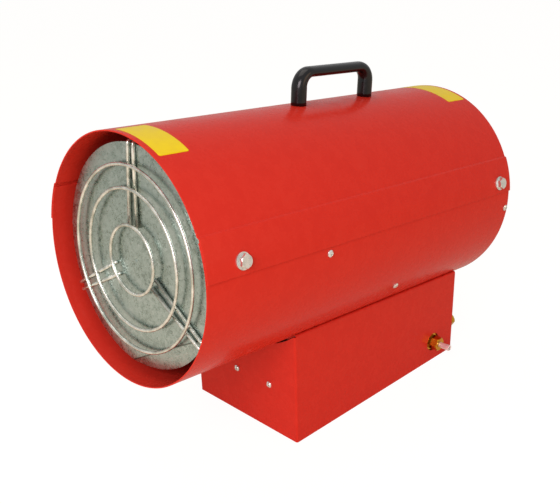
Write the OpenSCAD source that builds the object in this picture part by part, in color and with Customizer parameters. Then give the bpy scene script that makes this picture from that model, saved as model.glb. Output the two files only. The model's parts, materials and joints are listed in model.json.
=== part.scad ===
// Gas forced air heater: a round casing of two lapped sheet halves, tipped up at its
// outlet, on a folded sheet base that holds the gas valve, the igniter and the switch.
// Frame: +Z up, hot air leaves towards -Y, the gas inlet is on the +X side. The origin is
// on the floor under the middle of the whole box. Parts of the casing are drawn along its
// own axis, where y is the distance behind the outlet rim and z the height above the axis.

/* [Casing] */
// Outer diameter of the round casing
casing_d = 270; // [260:1:278]
// Length of the casing along its own axis
casing_l = 523; // [519:1:540]
// Angle by which the outlet is tipped up
casing_tilt = 4.5; // [3.5:0.5:5.5]
// Sheet thickness of the two casing halves
casing_sheet = 1.5; // [1.2:0.1:1.8]
// Angle above the horizontal at which the upper half ends
seam_angle = 6.5; // [5.5:0.5:7]
// Angle above the horizontal at which the lap band starts
band_angle = 24.8; // [23:0.2:28]
// Gap left for paint between the lapped sheets
lap_gap = 0.4; // [0.3:0.1:0.6]
// Height of the casing's underside above the floor, over the middle of the base
casing_low_h = 102.6; // [97:0.2:110]
// Distance along the axis from the outlet rim to the middle of the base
base_back = 317.8; // [314:0.2:322]

/* [Outlet] */
// Gap for hot air between the flame disc and the casing
outlet_gap = 12.1; // [10:0.1:16]
// Distance from the outlet rim to the front of the flame disc
disc_recess = 18; // [16:0.5:22]
// Sheet thickness of the flame disc
disc_sheet = 1; // [0.8:0.1:1.4]
// Depth of the folded part near the bottom of the flame disc
fold_depth = 21.9; // [15:0.1:24]
// Direction of the folded part of the flame disc, as an angle about the axis
fold_angle = -60.7; // [-64:0.1:-58]
// Angle by which that part is folded back
fold_back = 11; // [6:1:14]
// Diameter of the guard wire
wire_d = 3.8; // [3:0.1:4.2]
// Distance between the two wires of a guard spoke at the inner ring
spoke_inner_gap = 13; // [11:0.5:16]
// Distance between the two wires of a guard spoke at the edge of the disc
spoke_outer_gap = 8.6; // [8:0.2:10.6]

/* [Flame tube] */
// Gap for cooling air between the flame tube and the casing
tube_gap = 25.5; // [23:0.5:28]
// Distance from the outlet rim to the front of the flame tube
tube_front = 46; // [42:1:54]
// Length of the flame tube
tube_l = 188; // [180:1:190]
// Sheet thickness of the flame tube
tube_sheet = 1; // [0.8:0.1:1.4]

/* [Base] */
// Width of the base
base_w = 180; // [176:1:184]
// Length of the base
base_l = 318; // [314:1:322]
// Sheet thickness of the base
base_sheet = 1.2; // [1:0.1:1.4]
// Outer radius of the base's folds
base_fold_r = 2.4; // [2:0.2:3.2]

/* [Handle] */
// Length of the handle over both legs
handle_l = 138; // [134:1:150]
// Height of the handle above the casing
handle_h = 43.2; // [40:0.2:52]
// Width of a handle leg, along the casing
handle_leg_w = 19.4; // [17:0.2:22]
// Thickness of the handle's top bar
handle_bar_t = 12.2; // [11:0.2:15]
// Depth of the handle, across the casing
handle_depth = 20; // [18:0.5:24]
// Distance from the outlet rim to the middle of the handle
handle_back = 312.2; // [305:0.2:320]

/* [Fan and motor] */
// Running gap between the blade tips and the casing
fan_gap = 9; // [7:0.5:14]
// Number of fan blades
blade_count = 5; // [4:1:6]
// Sheet thickness of a fan blade
blade_t = 1.6; // [1.2:0.1:2]
// Diameter of the motor shaft
shaft_d = 8; // [7:0.5:9]
// Diameter of the motor
motor_d = 84; // [80:1:92]
// Length of the motor
motor_l = 56; // [54:1:60]

/* [Gas train] */
// Distance across the flats of the brass inlet nut
inlet_af = 17; // [16.5:0.5:19]
// Diameter of the gas inlet spigot
spigot_d = 8; // [7.5:0.1:8.6]
// Distance that the inlet spigot stands out of the base
spigot_reach = 28; // [24:0.5:32]
// Outer diameter of the gas pipe
pipe_d = 8; // [6:0.5:9]
// Distance that the valve's plunger can be pushed in
plunger_travel = 2.5; // [1.5:0.1:2.5]

/* [Controls] */
// Distance that the igniter's button can be pushed in
igniter_travel = 4.5; // [3:0.5:6]
// Angle through which the rocker of the switch turns
rocker_swing = 20; // [14:1:22]
// Bore of the cable entry
cable_bore_d = 8.4; // [7.5:0.1:9.5]

/* [Hidden] */
$fn = 96;
// Distance by which a cutting shape runs past what it cuts
overrun = 1;
// Gap between a curved seat and what rests on it
seat_gap = 0.1;
// Radial clearance of a sliding, turning or threaded fit
slide_fit = 0.05;
// Radial clearance of a screw in its hole
screw_clearance = 0.3;

// Both halves of the casing
casing_r = casing_d / 2;
axis_h = casing_r + casing_low_h;
casing_in_r = casing_r - casing_sheet;
band_in_r = casing_r + lap_gap;
band_out_r = band_in_r + casing_sheet;
// Width of the step between the crest of the upper half and its lap band
joggle_run = 3;
// The filling of the step runs this far into the crest and the band, and ends short of theirs
joggle_lap = 0.5;
joggle_inset_angle = 0.2;
// Distance from the step to the top edge of the lower half, inside the band
lap_end_gap = 3;
crest_angle = band_angle + arc_angle(joggle_run, casing_r);
lap_top_angle = band_angle - arc_angle(lap_end_gap, casing_r);
base_y = (2 * base_back - casing_l) / 2 * cos(casing_tilt);
// Window in the bottom of the casing, over the base, for the gas pipe and the leads
window_w = 90;
window_l = 96;
window_forward = 12;

// Bolts that clamp the two halves through the lap band, with their nuts inside
casing_bolt_angle = 12.3;
casing_bolt_front = 44.6;
casing_bolt_rear_inset = 27.2;
casing_bolt_rear = casing_l - casing_bolt_rear_inset;
bolt_d = 8;
bolt_end = 2;
flange_d = 17.8;
flange_t = 1.6;
bolt_af = 13;
bolt_head_h = 7;
nut_h = 6.5;

// Pan head screws with a cross slot
pan_d = 8;
pan_h = 2.6;
pan_shank_d = 3.9;
pan_shank_l = 8;
slot_w = 1;
slot_deep = 1.2;
pan_top_share = 0.6;

// Places of the screws in the casing
tube_screw_s = 167.9;
tube_screw_angle = 3.5;
burner_screw_s = 315.3;
burner_screw_angle = -32.4;
grille_screw_inset = 6.6;
grille_screw_s = casing_l - grille_screw_inset;
grille_screw_angle = -3.1;
bottom_angle = -90;

// Handle: a moulded bow whose section changes from a deep leg to a flatter bar
handle_screw_d = 5;
handle_screw_l = 16;
handle_screw_head_d = 11;
handle_screw_head_h = 3.5;
handle_hole_deep = 18;
handle_corner_r = 17;
handle_seat_gap = 0.2;
handle_sides = 20;
// Share of the legs' distance at which the bar's middle stations lie
handle_mid_share = 1 / 3;
// Power of the sine and cosine in the section: 1 is an ellipse, less is squarer
handle_squareness = 0.82;
handle_leg_x = handle_l / 2 - handle_leg_w / 2;
handle_bar_z = handle_h - handle_bar_t / 2;

// Outlet
disc_r = casing_in_r - outlet_gap;
fold_reach = disc_r - fold_depth;
disc_back = disc_recess + disc_sheet;
ring_radius_shares = [0.307, 0.623, 0.823];
spoke_angles = [90, 210, 330];
spoke_inner_share = 0.29;
// Gap between the spokes and the flame disc
spoke_gap = 0.3;
spoke_s = disc_recess - spoke_gap - wire_d / 2;
ring_s = spoke_s - wire_d;
spoke_tip_r = disc_r + spoke_gap + wire_d / 2;
spoke_hook_l = 15;
spoke_bend_r = 3.4;
wire_sides = 10;
wire_fn = 24;
bend_steps = 5;
// Width over which the folded part and the rest of the flame disc run into each other
fold_lap = 0.4;
centre_dimple_d = 6;
centre_dimple_deep = 0.5;

// Flame tube, with a rolled bead near each end
tube_r = casing_in_r - tube_gap;
bead_w = 8;
bead_h = 2;
bead_inset = 34;
bracket_sheet = 1.5;
bracket_half_angle = 6;
strap_lap_angle = 1;
shell_foot_l = 24;
tube_foot_l = 22;
stay_angles = [30, 150, 270];
stay_half_angle = 4;
stay_lap = 26;
stay_foot_deep = 16;

// Base
base_front_y = base_y - base_l / 2;
base_rear_y = base_y + base_l / 2;
side_out_x = base_w / 2;
side_in_x = side_out_x - base_sheet;
saddle_in_r = casing_r + seat_gap;
// Centre of the fold between a side of the base and its saddle flange
saddle_fold_x = side_out_x - base_fold_r;
saddle_fold_z = -sqrt(pow(saddle_in_r + base_fold_r, 2) - pow(saddle_fold_x, 2));
saddle_fold_angle = atan2(saddle_fold_z, saddle_fold_x);
saddle_flange_w = 15;
saddle_flange_angle = arc_angle(saddle_flange_w, saddle_in_r);
// Angle by which the fold runs into the side and into the flange
saddle_fold_lap = 3;
saddle_screw_inset = 40;
front_arc_gap = 2.2;
return_tab_w = 14;
return_tab_h = 15;
return_tab_z = [7, 68];
panel_floor_gap = 0.3;
panel_screw_d = 7;
panel_screw_inset = 7;
plate_fit = 0.2;
plate_flange = 12;
vent_l = 44;
vent_w = 5;
vent_pitch = 16;
vent_count = 6;

// Channel welded inside the base's +X side
channel_l = 147;
channel_forward = 4.5;
channel_y = base_y - channel_forward;
channel_z = 24;
channel_h = 37;
channel_flange = 12;
channel_deep = 9;
weld_d = 6;
weld_deep = 0.4;
weld_inset_l = 8;
weld_inset_h = 6;

// Two screws in the front of the base, and the bracket and terminal block that they hold
front_screw_x = [-12.9, 44.8];
front_screw_z = 64;
terminal_margin = 11;
terminal_h = 24;
terminal_shelf_l = 40;
terminal_mid_x = (front_screw_x[0] + front_screw_x[1]) / 2;
block_w = 46;
block_l = 22;
block_h = 14;
block_low_h = 6;
block_ways = 4;
block_way_share = 0.84;
block_screw_d = 5;
block_screw_deep = 3;

// Gas valve, with its plunger to the rear and its inlet to the +X side
valve_x = 80;
plunger_z = 40;
inlet_z = 28;
inlet_inset = 44.5;
inlet_y = base_rear_y - inlet_inset;
inlet_hole_d = 26;
valve_w = 15.6;
valve_nose_l = 14;
valve_front_y = inlet_y - valve_nose_l;
valve_rear_inset = 8;
valve_rear_y = base_rear_y - valve_rear_inset;
valve_low_z = 16;
valve_top_z = 52;
bonnet_d = 12;
bonnet_shoulder_d = 15.6;
bonnet_proud = 0.3;
valve_nut_af = 17;
valve_nut_h = 8.3;
bonnet_end_y = base_rear_y + base_sheet + valve_nut_h + bonnet_proud;
plunger_d = 8;
plunger_out = 2.6;
plunger_in = 14;
inlet_nut_out = 12;
inlet_boss_d = 13;
inlet_nut_x = valve_x + valve_w / 2 + seat_gap;
spigot_in = 20;
spigot_root_d = 7;
spigot_tail_l = spigot_reach - inlet_nut_out - seat_gap;
spigot_bore_d = 5;
nut_chamfer = 1.5;
outlet_boss_d = 13;
outlet_boss_h = 6;
outlet_y = valve_rear_y - outlet_boss_d / 2;
lead_boss_d = 7;
lead_boss_h = 5;
lead_boss_y = valve_front_y + lead_boss_d;

// Burner, on a bracket across the casing
strap_t = 2;
strap_w = 24;
burner_plate_s = 303;
burner_plate_t = 2;
burner_l = 62;
burner_mouth_r = 46;
burner_neck_r = 24;
burner_neck_l = 18;
burner_sheet = 1.2;
burner_hole_d = 8;
burner_hole_count = 12;
burner_hole_share = 0.5;
burner_bar_angle = -41;
burner_bar_z = strap_bar_z(burner_bar_angle);
riser_w = 66;
riser_top = 44;
nozzle_af = 17;
nozzle_l = 22;
nozzle_neck_d = 12;
nozzle_neck_out = 5;
nozzle_tip_d = 6;
nozzle_tip_l = 8;
nozzle_jet_d = 1.2;
nozzle_back_s = burner_plate_s + burner_plate_t;
pipe_riser_s = nozzle_back_s + nozzle_l / 2;
pipe_sides = 12;
pipe_bend_r = 12;
pipe_run_z = 74;
pipe_hole_gap = 2;

// Thermocouple and spark electrode, through the burner's bracket, and their leads
probe_d = 5;
probe_l = 34;
probe_x = -26;
probe_z = 34;
probe_nut_af = 9;
probe_nut_h = 4;
electrode_d = 7;
electrode_l = 30;
electrode_x = 26;
electrode_collar_d = 11;
electrode_wire_d = 2;
electrode_wire_l = 14;
electrode_wire_in = 1;
lead_d = 3;
lead_sides = 8;
lead_bend_r = 8;
lead_start_gap = 6;
lead_start_s = nozzle_back_s + lead_start_gap;
lead_drop_gap = 10;
lead_drop_s = lead_start_s + lead_drop_gap;
lead_run_z = 66;

// Igniter in the rear panel
igniter_x = 38;
igniter_z = 40;
igniter_d = 18;
igniter_l = 34;
igniter_collar_d = 24;
igniter_collar_h = 4;
igniter_nut_af = 23;
igniter_nut_h = 4;
igniter_button_d = 14;
igniter_button_out = 9;
igniter_button_in = 12;
igniter_post_d = 6;
igniter_post_l = 6;
igniter_post_y = base_rear_y + base_sheet - igniter_l - igniter_post_l;

// Rocker switch in the rear panel
switch_x = -14;
switch_z = 40;
bezel_w = 26;
bezel_h = 32;
bezel_t = 2.2;
switch_w = 21;
switch_h = 27;
switch_l = 24;
switch_wall = 1.8;
switch_well = 12;
switch_well_w = switch_w - 2 * switch_wall;
switch_well_h = switch_h - 2 * switch_wall;
rocker_gap = 0.4;
rocker_rise = 4.4;
rocker_root = 5;
rocker_pin_d = 3;
rocker_pin_l = 1.2;
rocker_pin_in = 1.5;

// Cable gland in the rear panel
gland_x = -62;
gland_z = 30;
gland_thread_d = 18;
gland_hex_af = 21;
gland_hex_h = 5;
gland_nose_d = 16;
gland_nose_h = 11;
gland_in = 14;
gland_nut_af = 23;
gland_nut_h = 4;

// Fan: centre of its hub and shape of its blades
fan_tip_r = casing_in_r - fan_gap;
fan_hub_r = 21;
fan_hub_l = 24;
fan_nose = 3;
blade_root_r = 18;
blade_root_chord = 48;
blade_tip_chord = 92;
blade_root_pitch = 40;
blade_tip_pitch = 23;
blade_camber_share = 0.09;
blade_stations = 7;
blade_points = 6;

// Motor, on a bracket that the rear casing bolts hold
bracket_s = casing_bolt_rear - strap_w / 2;
motor_bar_angle = 4;
motor_plate_w = 76;
motor_plate_h = 76;
motor_front_s = bracket_s - motor_l;
// Distances from the motor's face to the fan's middle, and from there to the shaft's end
fan_standoff = 27.8;
fan_s = motor_front_s - fan_standoff;
shaft_nose_l = 19;
shaft_front_s = fan_s - shaft_nose_l;
motor_bell = 13;
motor_bell_inset = 5;
motor_boss_r = 13;
motor_boss_h = 4;
motor_fin_count = 24;
motor_fin_w = 3;
motor_fin_deep = 2;
motor_fin_inset = 2;
bearing_l = 8;
motor_screw_pcr = 30;
motor_screw_d = 4;
motor_screw_head_d = 8;
motor_screw_head_h = 3.2;
motor_screw_l = 14;

// Rear grille of welded wire
grille_wire_d = 3.2;
grille_edge_gap = 6;
grille_r = casing_in_r - grille_edge_gap;
grille_inset = 10;
grille_s = casing_l - grille_inset;
grille_ring_count = 9;
grille_hub_r = 26;
grille_hub_t = 1.5;
grille_spoke_angles = [45, 135, 225, 315];
grille_weld = 0.5;
grille_tab_t = 1.2;
grille_tab_half_angle = 5;
grille_tab_l = 10;

// Overheat cut-out on the inside of the casing
cutout_s = 262;
cutout_angle = -125;
cutout_d = 17;
cutout_h = 9;
cutout_tab_w = 9;
cutout_tab_l = 30;
cutout_tab_t = 1;
cutout_blade_l = 7;
cutout_blade_w = 4.8;
cutout_blade_t = 0.8;
cutout_blade_gap = 8;

// Angle in degrees that an arc of a given length takes on a circle of radius r
function arc_angle(length, r) = length / r * 180 / PI;
function polar(r, a) = [r * cos(a), r * sin(a)];
function unit(v) = v / norm(v);
function reversed(list) = [for (i = [len(list) - 1 : -1 : 0]) list[i]];
// Radius at which a flat face of diameter d touches the inside of a round wall
function flat_seat(r, d) = sqrt(pow(r, 2) - pow(d / 2, 2)) - seat_gap;
function strap_bar_z(angle) = (casing_in_r - seat_gap - strap_t / 2) * sin(angle);
// A point of the casing's own frame, given in the frame of the floor
function from_casing(p) = [p.x,
    base_y + (p.y - base_back) * cos(casing_tilt) + p.z * sin(casing_tilt),
    axis_h - (p.y - base_back) * sin(casing_tilt) + p.z * cos(casing_tilt)];
// The point at a given height above the floor, straight below the casing's axis at s
function dropped(x, s, level) = from_casing([x, s,
    (level - axis_h + (s - base_back) * sin(casing_tilt)) / cos(casing_tilt)]);
// The points of an arc that rounds the corner p between a and b
function corner(a, p, b, r) = let (u = unit(p - a), v = unit(b - p), turn = acos(u * v),
    start = p - u * r * tan(turn / 2), centre = p + unit(v - u) * r / cos(turn / 2),
    side = unit(start - centre))
    [for (i = [0 : bend_steps]) let (t = turn * i / bend_steps) centre + r * (cos(t) * side + sin(t) * u)];
function rounded(points, r) = [points[0],
    for (i = [1 : len(points) - 2]) each corner(points[i - 1], points[i], points[i + 1], r),
    points[len(points) - 1]];
function tangent(path, i) = unit(path[min(i + 1, len(path) - 1)] - path[max(i - 1, 0)]);
// One normal for each point of a path, each carried over from the one before it
function normals(path, last, i = 0) = i == len(path) ? [] :
    let (t = tangent(path, i), n = unit(last - (last * t) * t)) concat([n], normals(path, n, i + 1));
// Faces of a tube of rings, each of n points, closed by a fan of triangles at both ends
function tube_faces(rings, n) = let (far = (rings - 1) * n) concat(
    [for (i = [0 : rings - 2], k = [0 : n - 1]) let (a = i * n + k, b = i * n + (k + 1) % n)
        each [[a, a + n, b], [b, a + n, b + n]]],
    [for (k = [1 : n - 2]) [0, k, k + 1]],
    [for (k = [1 : n - 2]) [far, far + k + 1, far + k]]);

module on_casing() translate([0, base_y, axis_h]) rotate([-casing_tilt, 0, 0])
    translate([0, -base_back, 0]) children();

// Puts a child on the casing's axis frame so that its +Z points outwards at an angle
module outwards(angle, s, r) rotate([0, -angle, 0]) translate([r, s, 0]) rotate([0, 90, 0]) children();

// Turns a child's +Z towards the rear, and towards the front
module rearwards() rotate([-90, 0, 0]) children();
module forwards() rotate([90, 0, 0]) children();

module ring_sector(r_in, r_out, a0, a1, s0, s1)
    rotate([90, 0, 0]) translate([0, 0, -s1]) rotate([0, 0, a0]) rotate_extrude(angle = a1 - a0)
        translate([r_in, 0]) square([r_out - r_in, s1 - s0]);

module along_casing(s0, s1) rotate([90, 0, 0]) translate([0, 0, -s1]) linear_extrude(s1 - s0) children();

// A wire or pipe of round section along a path, whose first normal lies towards side_way
module swept(path, r, sides, side_way) {
    n = normals(path, side_way);
    points = [for (i = [0 : len(path) - 1]) let (t = tangent(path, i), b = cross(t, n[i]))
        for (k = [0 : sides - 1]) path[i] + r * (cos(360 * k / sides) * n[i] + sin(360 * k / sides) * b)];
    polyhedron(points, tube_faces(len(path), sides));
}

module hex_prism(af, h) cylinder(h = h, d = af / cos(30), $fn = 6);

// A hex head whose far corners are turned down to a cone
module turned_hex(af, h) intersection() {
    hex_prism(af, h);
    cylinder(h = h, d1 = af + 2 * h, d2 = af);
}

module pan_screw(head_d, head_h, shank_d, shank_l) difference() {
    union() {
        cylinder(h = head_h / 2, d = head_d);
        translate([0, 0, head_h / 2]) cylinder(h = head_h / 2, d1 = head_d, d2 = head_d * pan_top_share);
        translate([0, 0, -shank_l]) cylinder(h = shank_l, d = shank_d);
    }
    for (a = [0, 90]) rotate([0, 0, a]) translate([-head_d / 4, -slot_w / 2, head_h - slot_deep])
        cube([head_d / 2, slot_w, slot_deep + overrun]);
}

// A strap across the casing: two feet on its inside and a flat bar between them
module strap(foot_angle, bar_angle, s) {
    foot_r = casing_in_r - seat_gap;
    half_bar = (foot_r - strap_t / 2) * cos(bar_angle);
    low = min(foot_angle - bracket_half_angle, bar_angle - strap_lap_angle);
    for (side = [0, 1]) mirror([side, 0, 0])
        ring_sector(foot_r - strap_t, foot_r, low, foot_angle + bracket_half_angle, s, s + strap_w);
    translate([-half_bar, s, strap_bar_z(bar_angle) - strap_t / 2]) cube([2 * half_bar, strap_w, strap_t]);
}

// Places that several pieces share

module casing_bolt_places(s_list) for (angle = [casing_bolt_angle, 180 - casing_bolt_angle], s = s_list)
    outwards(angle, s, 0) children();

module tube_screw_places() for (angle = [tube_screw_angle, 180 - tube_screw_angle])
    outwards(angle, tube_screw_s, 0) children();

module burner_screw_places() for (angle = [burner_screw_angle, 180 - burner_screw_angle])
    outwards(angle, burner_screw_s, 0) children();

module grille_screw_places() for (angle = [grille_screw_angle, 180 - grille_screw_angle, bottom_angle])
    outwards(angle, grille_screw_s, 0) children();

module shell_screw_places() {
    tube_screw_places() children();
    burner_screw_places() children();
    grille_screw_places() children();
}

module saddle_screw_places() for (side = [0, 1], end = [-1, 1]) mirror([side, 0, 0])
    outwards(saddle_fold_angle - saddle_flange_angle / 2,
        base_back + end * (base_l / 2 - saddle_screw_inset), 0) children();

module handle_places() for (side = [-1, 1])
    translate([0, handle_back + side * handle_leg_x, 0]) children();

module panel_screw_places() for (side = [-1, 1], z = return_tab_z)
    translate([side * (side_out_x - panel_screw_inset), base_rear_y, z + return_tab_h / 2])
        rearwards() children();

module front_screw_places() for (x = front_screw_x)
    translate([x, base_front_y, front_screw_z]) forwards() children();

// Casing

module upper_shell() color("firebrick") on_casing() difference() {
    union() {
        ring_sector(casing_in_r, casing_r, band_angle, 180 - band_angle, 0, casing_l);
        for (side = [0, 1]) mirror([side, 0, 0]) {
            ring_sector(band_in_r, band_out_r, seam_angle, crest_angle, 0, casing_l);
            ring_sector(casing_r - joggle_lap, band_in_r + joggle_lap,
                band_angle + joggle_inset_angle, crest_angle - joggle_inset_angle, 0, casing_l);
        }
    }
    casing_bolt_places([casing_bolt_front, casing_bolt_rear])
        cylinder(h = band_out_r + overrun, d = bolt_d + 2 * screw_clearance);
    handle_places() cylinder(h = casing_r + overrun, d = handle_screw_d + 2 * screw_clearance);
}

module lower_shell() color("firebrick") on_casing() difference() {
    ring_sector(casing_in_r, casing_r, -180 - lap_top_angle, lap_top_angle, 0, casing_l);
    casing_bolt_places([casing_bolt_front, casing_bolt_rear])
        cylinder(h = casing_r + overrun, d = bolt_d + 2 * screw_clearance);
    shell_screw_places() cylinder(h = casing_r + overrun, d = pan_shank_d + 2 * screw_clearance);
    saddle_screw_places() cylinder(h = casing_r + overrun, d = pan_shank_d + 2 * slide_fit);
    translate([-window_w / 2, base_back - window_forward - window_l / 2, -casing_r - overrun])
        cube([window_w, window_l, casing_r / 2]);
}

// Radius at which the nuts of the front and of the rear casing bolts seat
front_nut_r = flat_seat(casing_in_r, flange_d);
rear_nut_r = flat_seat(casing_in_r - seat_gap - strap_t, flange_d);

module casing_bolt(nut_r) {
    shank_l = band_out_r - nut_r + nut_h + bolt_end;
    translate([0, 0, band_out_r]) {
        cylinder(h = flange_t, d = flange_d);
        turned_hex(bolt_af, bolt_head_h);
        translate([0, 0, -shank_l]) cylinder(h = shank_l, d = bolt_d);
    }
}

module casing_bolts() color("silver") on_casing() {
    casing_bolt_places([casing_bolt_front]) casing_bolt(front_nut_r);
    casing_bolt_places([casing_bolt_rear]) casing_bolt(rear_nut_r);
}

module casing_nut() mirror([0, 0, 1]) difference() {
    union() {
        cylinder(h = flange_t, d = flange_d);
        turned_hex(bolt_af, nut_h);
    }
    translate([0, 0, -overrun]) cylinder(h = nut_h + 2 * overrun, d = bolt_d + 2 * slide_fit);
}

module casing_nuts() color("silver") on_casing() {
    casing_bolt_places([casing_bolt_front]) translate([0, 0, front_nut_r]) casing_nut();
    casing_bolt_places([casing_bolt_rear]) translate([0, 0, rear_nut_r]) casing_nut();
}

module shell_screws() color("silver") on_casing() shell_screw_places()
    translate([0, 0, casing_r]) pan_screw(pan_d, pan_h, pan_shank_d, pan_shank_l);

// Handle

// Stations of half the bow: place along it, height, direction and half thickness
function handle_half() = [[-handle_leg_x, handle_seat_gap, 90, handle_leg_w / 2],
    [-handle_leg_x, (handle_bar_z - handle_corner_r) / 2, 90, handle_leg_w / 2],
    for (i = [0 : 2 * bend_steps]) let (t = i / (2 * bend_steps)) [
        -handle_leg_x + handle_corner_r * (1 - cos(90 * t)),
        handle_bar_z - handle_corner_r * (1 - sin(90 * t)),
        90 * (1 - t), handle_leg_w / 2 + (handle_bar_t - handle_leg_w) / 2 * t],
    [-handle_leg_x * handle_mid_share, handle_bar_z, 0, handle_bar_t / 2]];
function handle_stations() = concat(handle_half(),
    [for (st = reversed(handle_half())) [-st[0], st[1], -st[2], st[3]]]);
function squared(v) = sign(v) * pow(abs(v), handle_squareness);

module handle() color("dimgray") on_casing() difference() {
    stations = handle_stations();
    points = [for (st = stations, k = [0 : handle_sides - 1])
        let (a = 360 * k / handle_sides, up = st[3] * squared(cos(a)))
        [handle_depth / 2 * squared(sin(a)), st[0] - up * sin(st[2]), st[1] + up * cos(st[2])]];
    translate([0, handle_back, casing_r]) polyhedron(points, tube_faces(len(stations), handle_sides));
    handle_places() cylinder(h = casing_r + handle_hole_deep, d = handle_screw_d + 2 * slide_fit);
}

module handle_screws() color("silver") on_casing() handle_places()
    translate([0, 0, flat_seat(casing_in_r, handle_screw_head_d)]) mirror([0, 0, 1])
        pan_screw(handle_screw_head_d, handle_screw_head_h, handle_screw_d, handle_screw_l);

// Outlet: flame disc, its stays and the wire guard

module whole_disc() translate([0, disc_recess, 0]) rearwards() cylinder(h = disc_sheet, r = disc_r);

module beyond_fold(lap) rotate([0, -fold_angle, 0]) translate([fold_reach - lap, 0, -casing_r])
    cube([casing_r, casing_l, casing_d]);

module dimple(d, deep) {
    r = (pow(d / 2, 2) + pow(deep, 2)) / (2 * deep);
    translate([0, 0, r - deep]) sphere(r = r);
}

module flame_disc() color("gainsboro") on_casing() {
    difference() {
        whole_disc();
        beyond_fold(0);
        translate([0, disc_recess, 0]) forwards() dimple(centre_dimple_d, centre_dimple_deep);
    }
    rotate([0, -fold_angle, 0]) translate([fold_reach, disc_back, 0]) rotate([0, 0, fold_back])
        translate([-fold_reach, -disc_back, 0]) rotate([0, fold_angle, 0]) intersection() {
            whole_disc();
            beyond_fold(fold_lap);
        }
}

module disc_stays() color("silver") on_casing() for (a = stay_angles) {
    r_out = tube_r + seat_gap + bracket_sheet;
    ring_sector(tube_r + seat_gap, r_out, a - stay_half_angle, a + stay_half_angle,
        disc_back, tube_front + stay_lap);
    ring_sector(tube_r - stay_foot_deep, r_out, a - stay_half_angle, a + stay_half_angle,
        disc_back, disc_back + bracket_sheet);
}

module guard_rings() color("lightgray") on_casing() for (share = ring_radius_shares)
    translate([0, ring_s, 0]) rearwards() rotate_extrude() translate([disc_r * share, 0])
        circle(d = wire_d, $fn = wire_fn);

module guard_spokes() color("lightgray") on_casing() for (a = spoke_angles) rotate([0, -a, 0]) {
    inner_r = disc_r * spoke_inner_share;
    back_s = spoke_s + spoke_hook_l;
    inner = spoke_inner_gap / 2;
    outer = spoke_outer_gap / 2;
    swept(rounded([[inner_r, spoke_s, inner], [spoke_tip_r, spoke_s, outer], [spoke_tip_r, back_s, outer],
        [spoke_tip_r, back_s, -outer], [spoke_tip_r, spoke_s, -outer], [inner_r, spoke_s, -inner]],
        spoke_bend_r), wire_d / 2, wire_sides, [0, 1, 0]);
}

// Flame tube and its brackets

// Line along the flame tube's wall, moved inwards by a distance
function tube_line(inwards) = [for (p = [[0, 0], [0, bead_inset], [bead_h, bead_inset + bead_w / 2],
    [0, bead_inset + bead_w], [0, tube_l - bead_inset - bead_w], [bead_h, tube_l - bead_inset - bead_w / 2],
    [0, tube_l - bead_inset], [0, tube_l]]) [tube_r - inwards - p[0], p[1]]];

module flame_tube() color("gainsboro") on_casing() translate([0, tube_front, 0]) rearwards()
    rotate_extrude() polygon(concat(tube_line(0), reversed(tube_line(tube_sheet))));

module flame_tube_brackets() color("silver") on_casing() difference() {
    shell_r = casing_in_r - seat_gap;
    foot_r = tube_r + seat_gap;
    front_s = tube_screw_s - shell_foot_l / 2;
    step_s = tube_screw_s + shell_foot_l / 2;
    profile = [[shell_r, front_s], [shell_r, step_s], [foot_r + bracket_sheet, step_s],
        [foot_r + bracket_sheet, step_s + tube_foot_l], [foot_r, step_s + tube_foot_l],
        [foot_r, step_s - bracket_sheet], [shell_r - bracket_sheet, step_s - bracket_sheet],
        [shell_r - bracket_sheet, front_s]];
    for (a = [tube_screw_angle, 180 - tube_screw_angle, bottom_angle])
        forwards() rotate([0, 0, a - bracket_half_angle]) rotate_extrude(angle = 2 * bracket_half_angle)
            polygon([for (p = profile) [p.x, -p.y]]);
    tube_screw_places() translate([0, 0, foot_r + bracket_sheet + overrun])
        cylinder(h = casing_r - foot_r, d = pan_shank_d + 2 * slide_fit);
}

// Base: a wrap of front and sides, a bottom plate and a rear control panel

module base_outline(inset) {
    half_w = side_out_x - inset;
    corner_r = base_fold_r - inset;
    front_y = base_front_y + inset;
    translate([-half_w, front_y + corner_r])
        square([2 * half_w, base_rear_y - front_y - corner_r + overrun * sign(inset)]);
    translate([corner_r - half_w, front_y]) square([2 * (half_w - corner_r), 2 * corner_r]);
    for (side = [-1, 1]) translate([side * (half_w - corner_r), front_y + corner_r]) circle(r = corner_r);
}

// Everything above the folds of the base's sides, and the room that the casing takes
module above_base() on_casing() {
    translate([-casing_d, -casing_l, saddle_fold_z]) cube([2 * casing_d, 3 * casing_l, casing_d]);
    translate([0, -casing_l, 0]) rearwards() cylinder(h = 3 * casing_l, r = casing_r + front_arc_gap);
}

module weld_places() for (end = [-1, 1], z = [weld_inset_h, channel_h - weld_inset_h])
    translate([side_out_x, channel_y + end * (channel_l / 2 - weld_inset_l), channel_z + z])
        rotate([0, 90, 0]) children();

module saddle_flange(side) on_casing() mirror([side, 0, 0]) {
    s0 = base_back - base_l;
    s1 = base_back + base_l;
    ring_sector(saddle_in_r, saddle_in_r + base_sheet, saddle_fold_angle - saddle_flange_angle,
        saddle_fold_angle, s0, s1);
    translate([saddle_fold_x, 0, saddle_fold_z]) ring_sector(base_fold_r - base_sheet, base_fold_r,
        -saddle_fold_lap, 180 + saddle_fold_angle + saddle_fold_lap, s0, s1);
}

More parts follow.
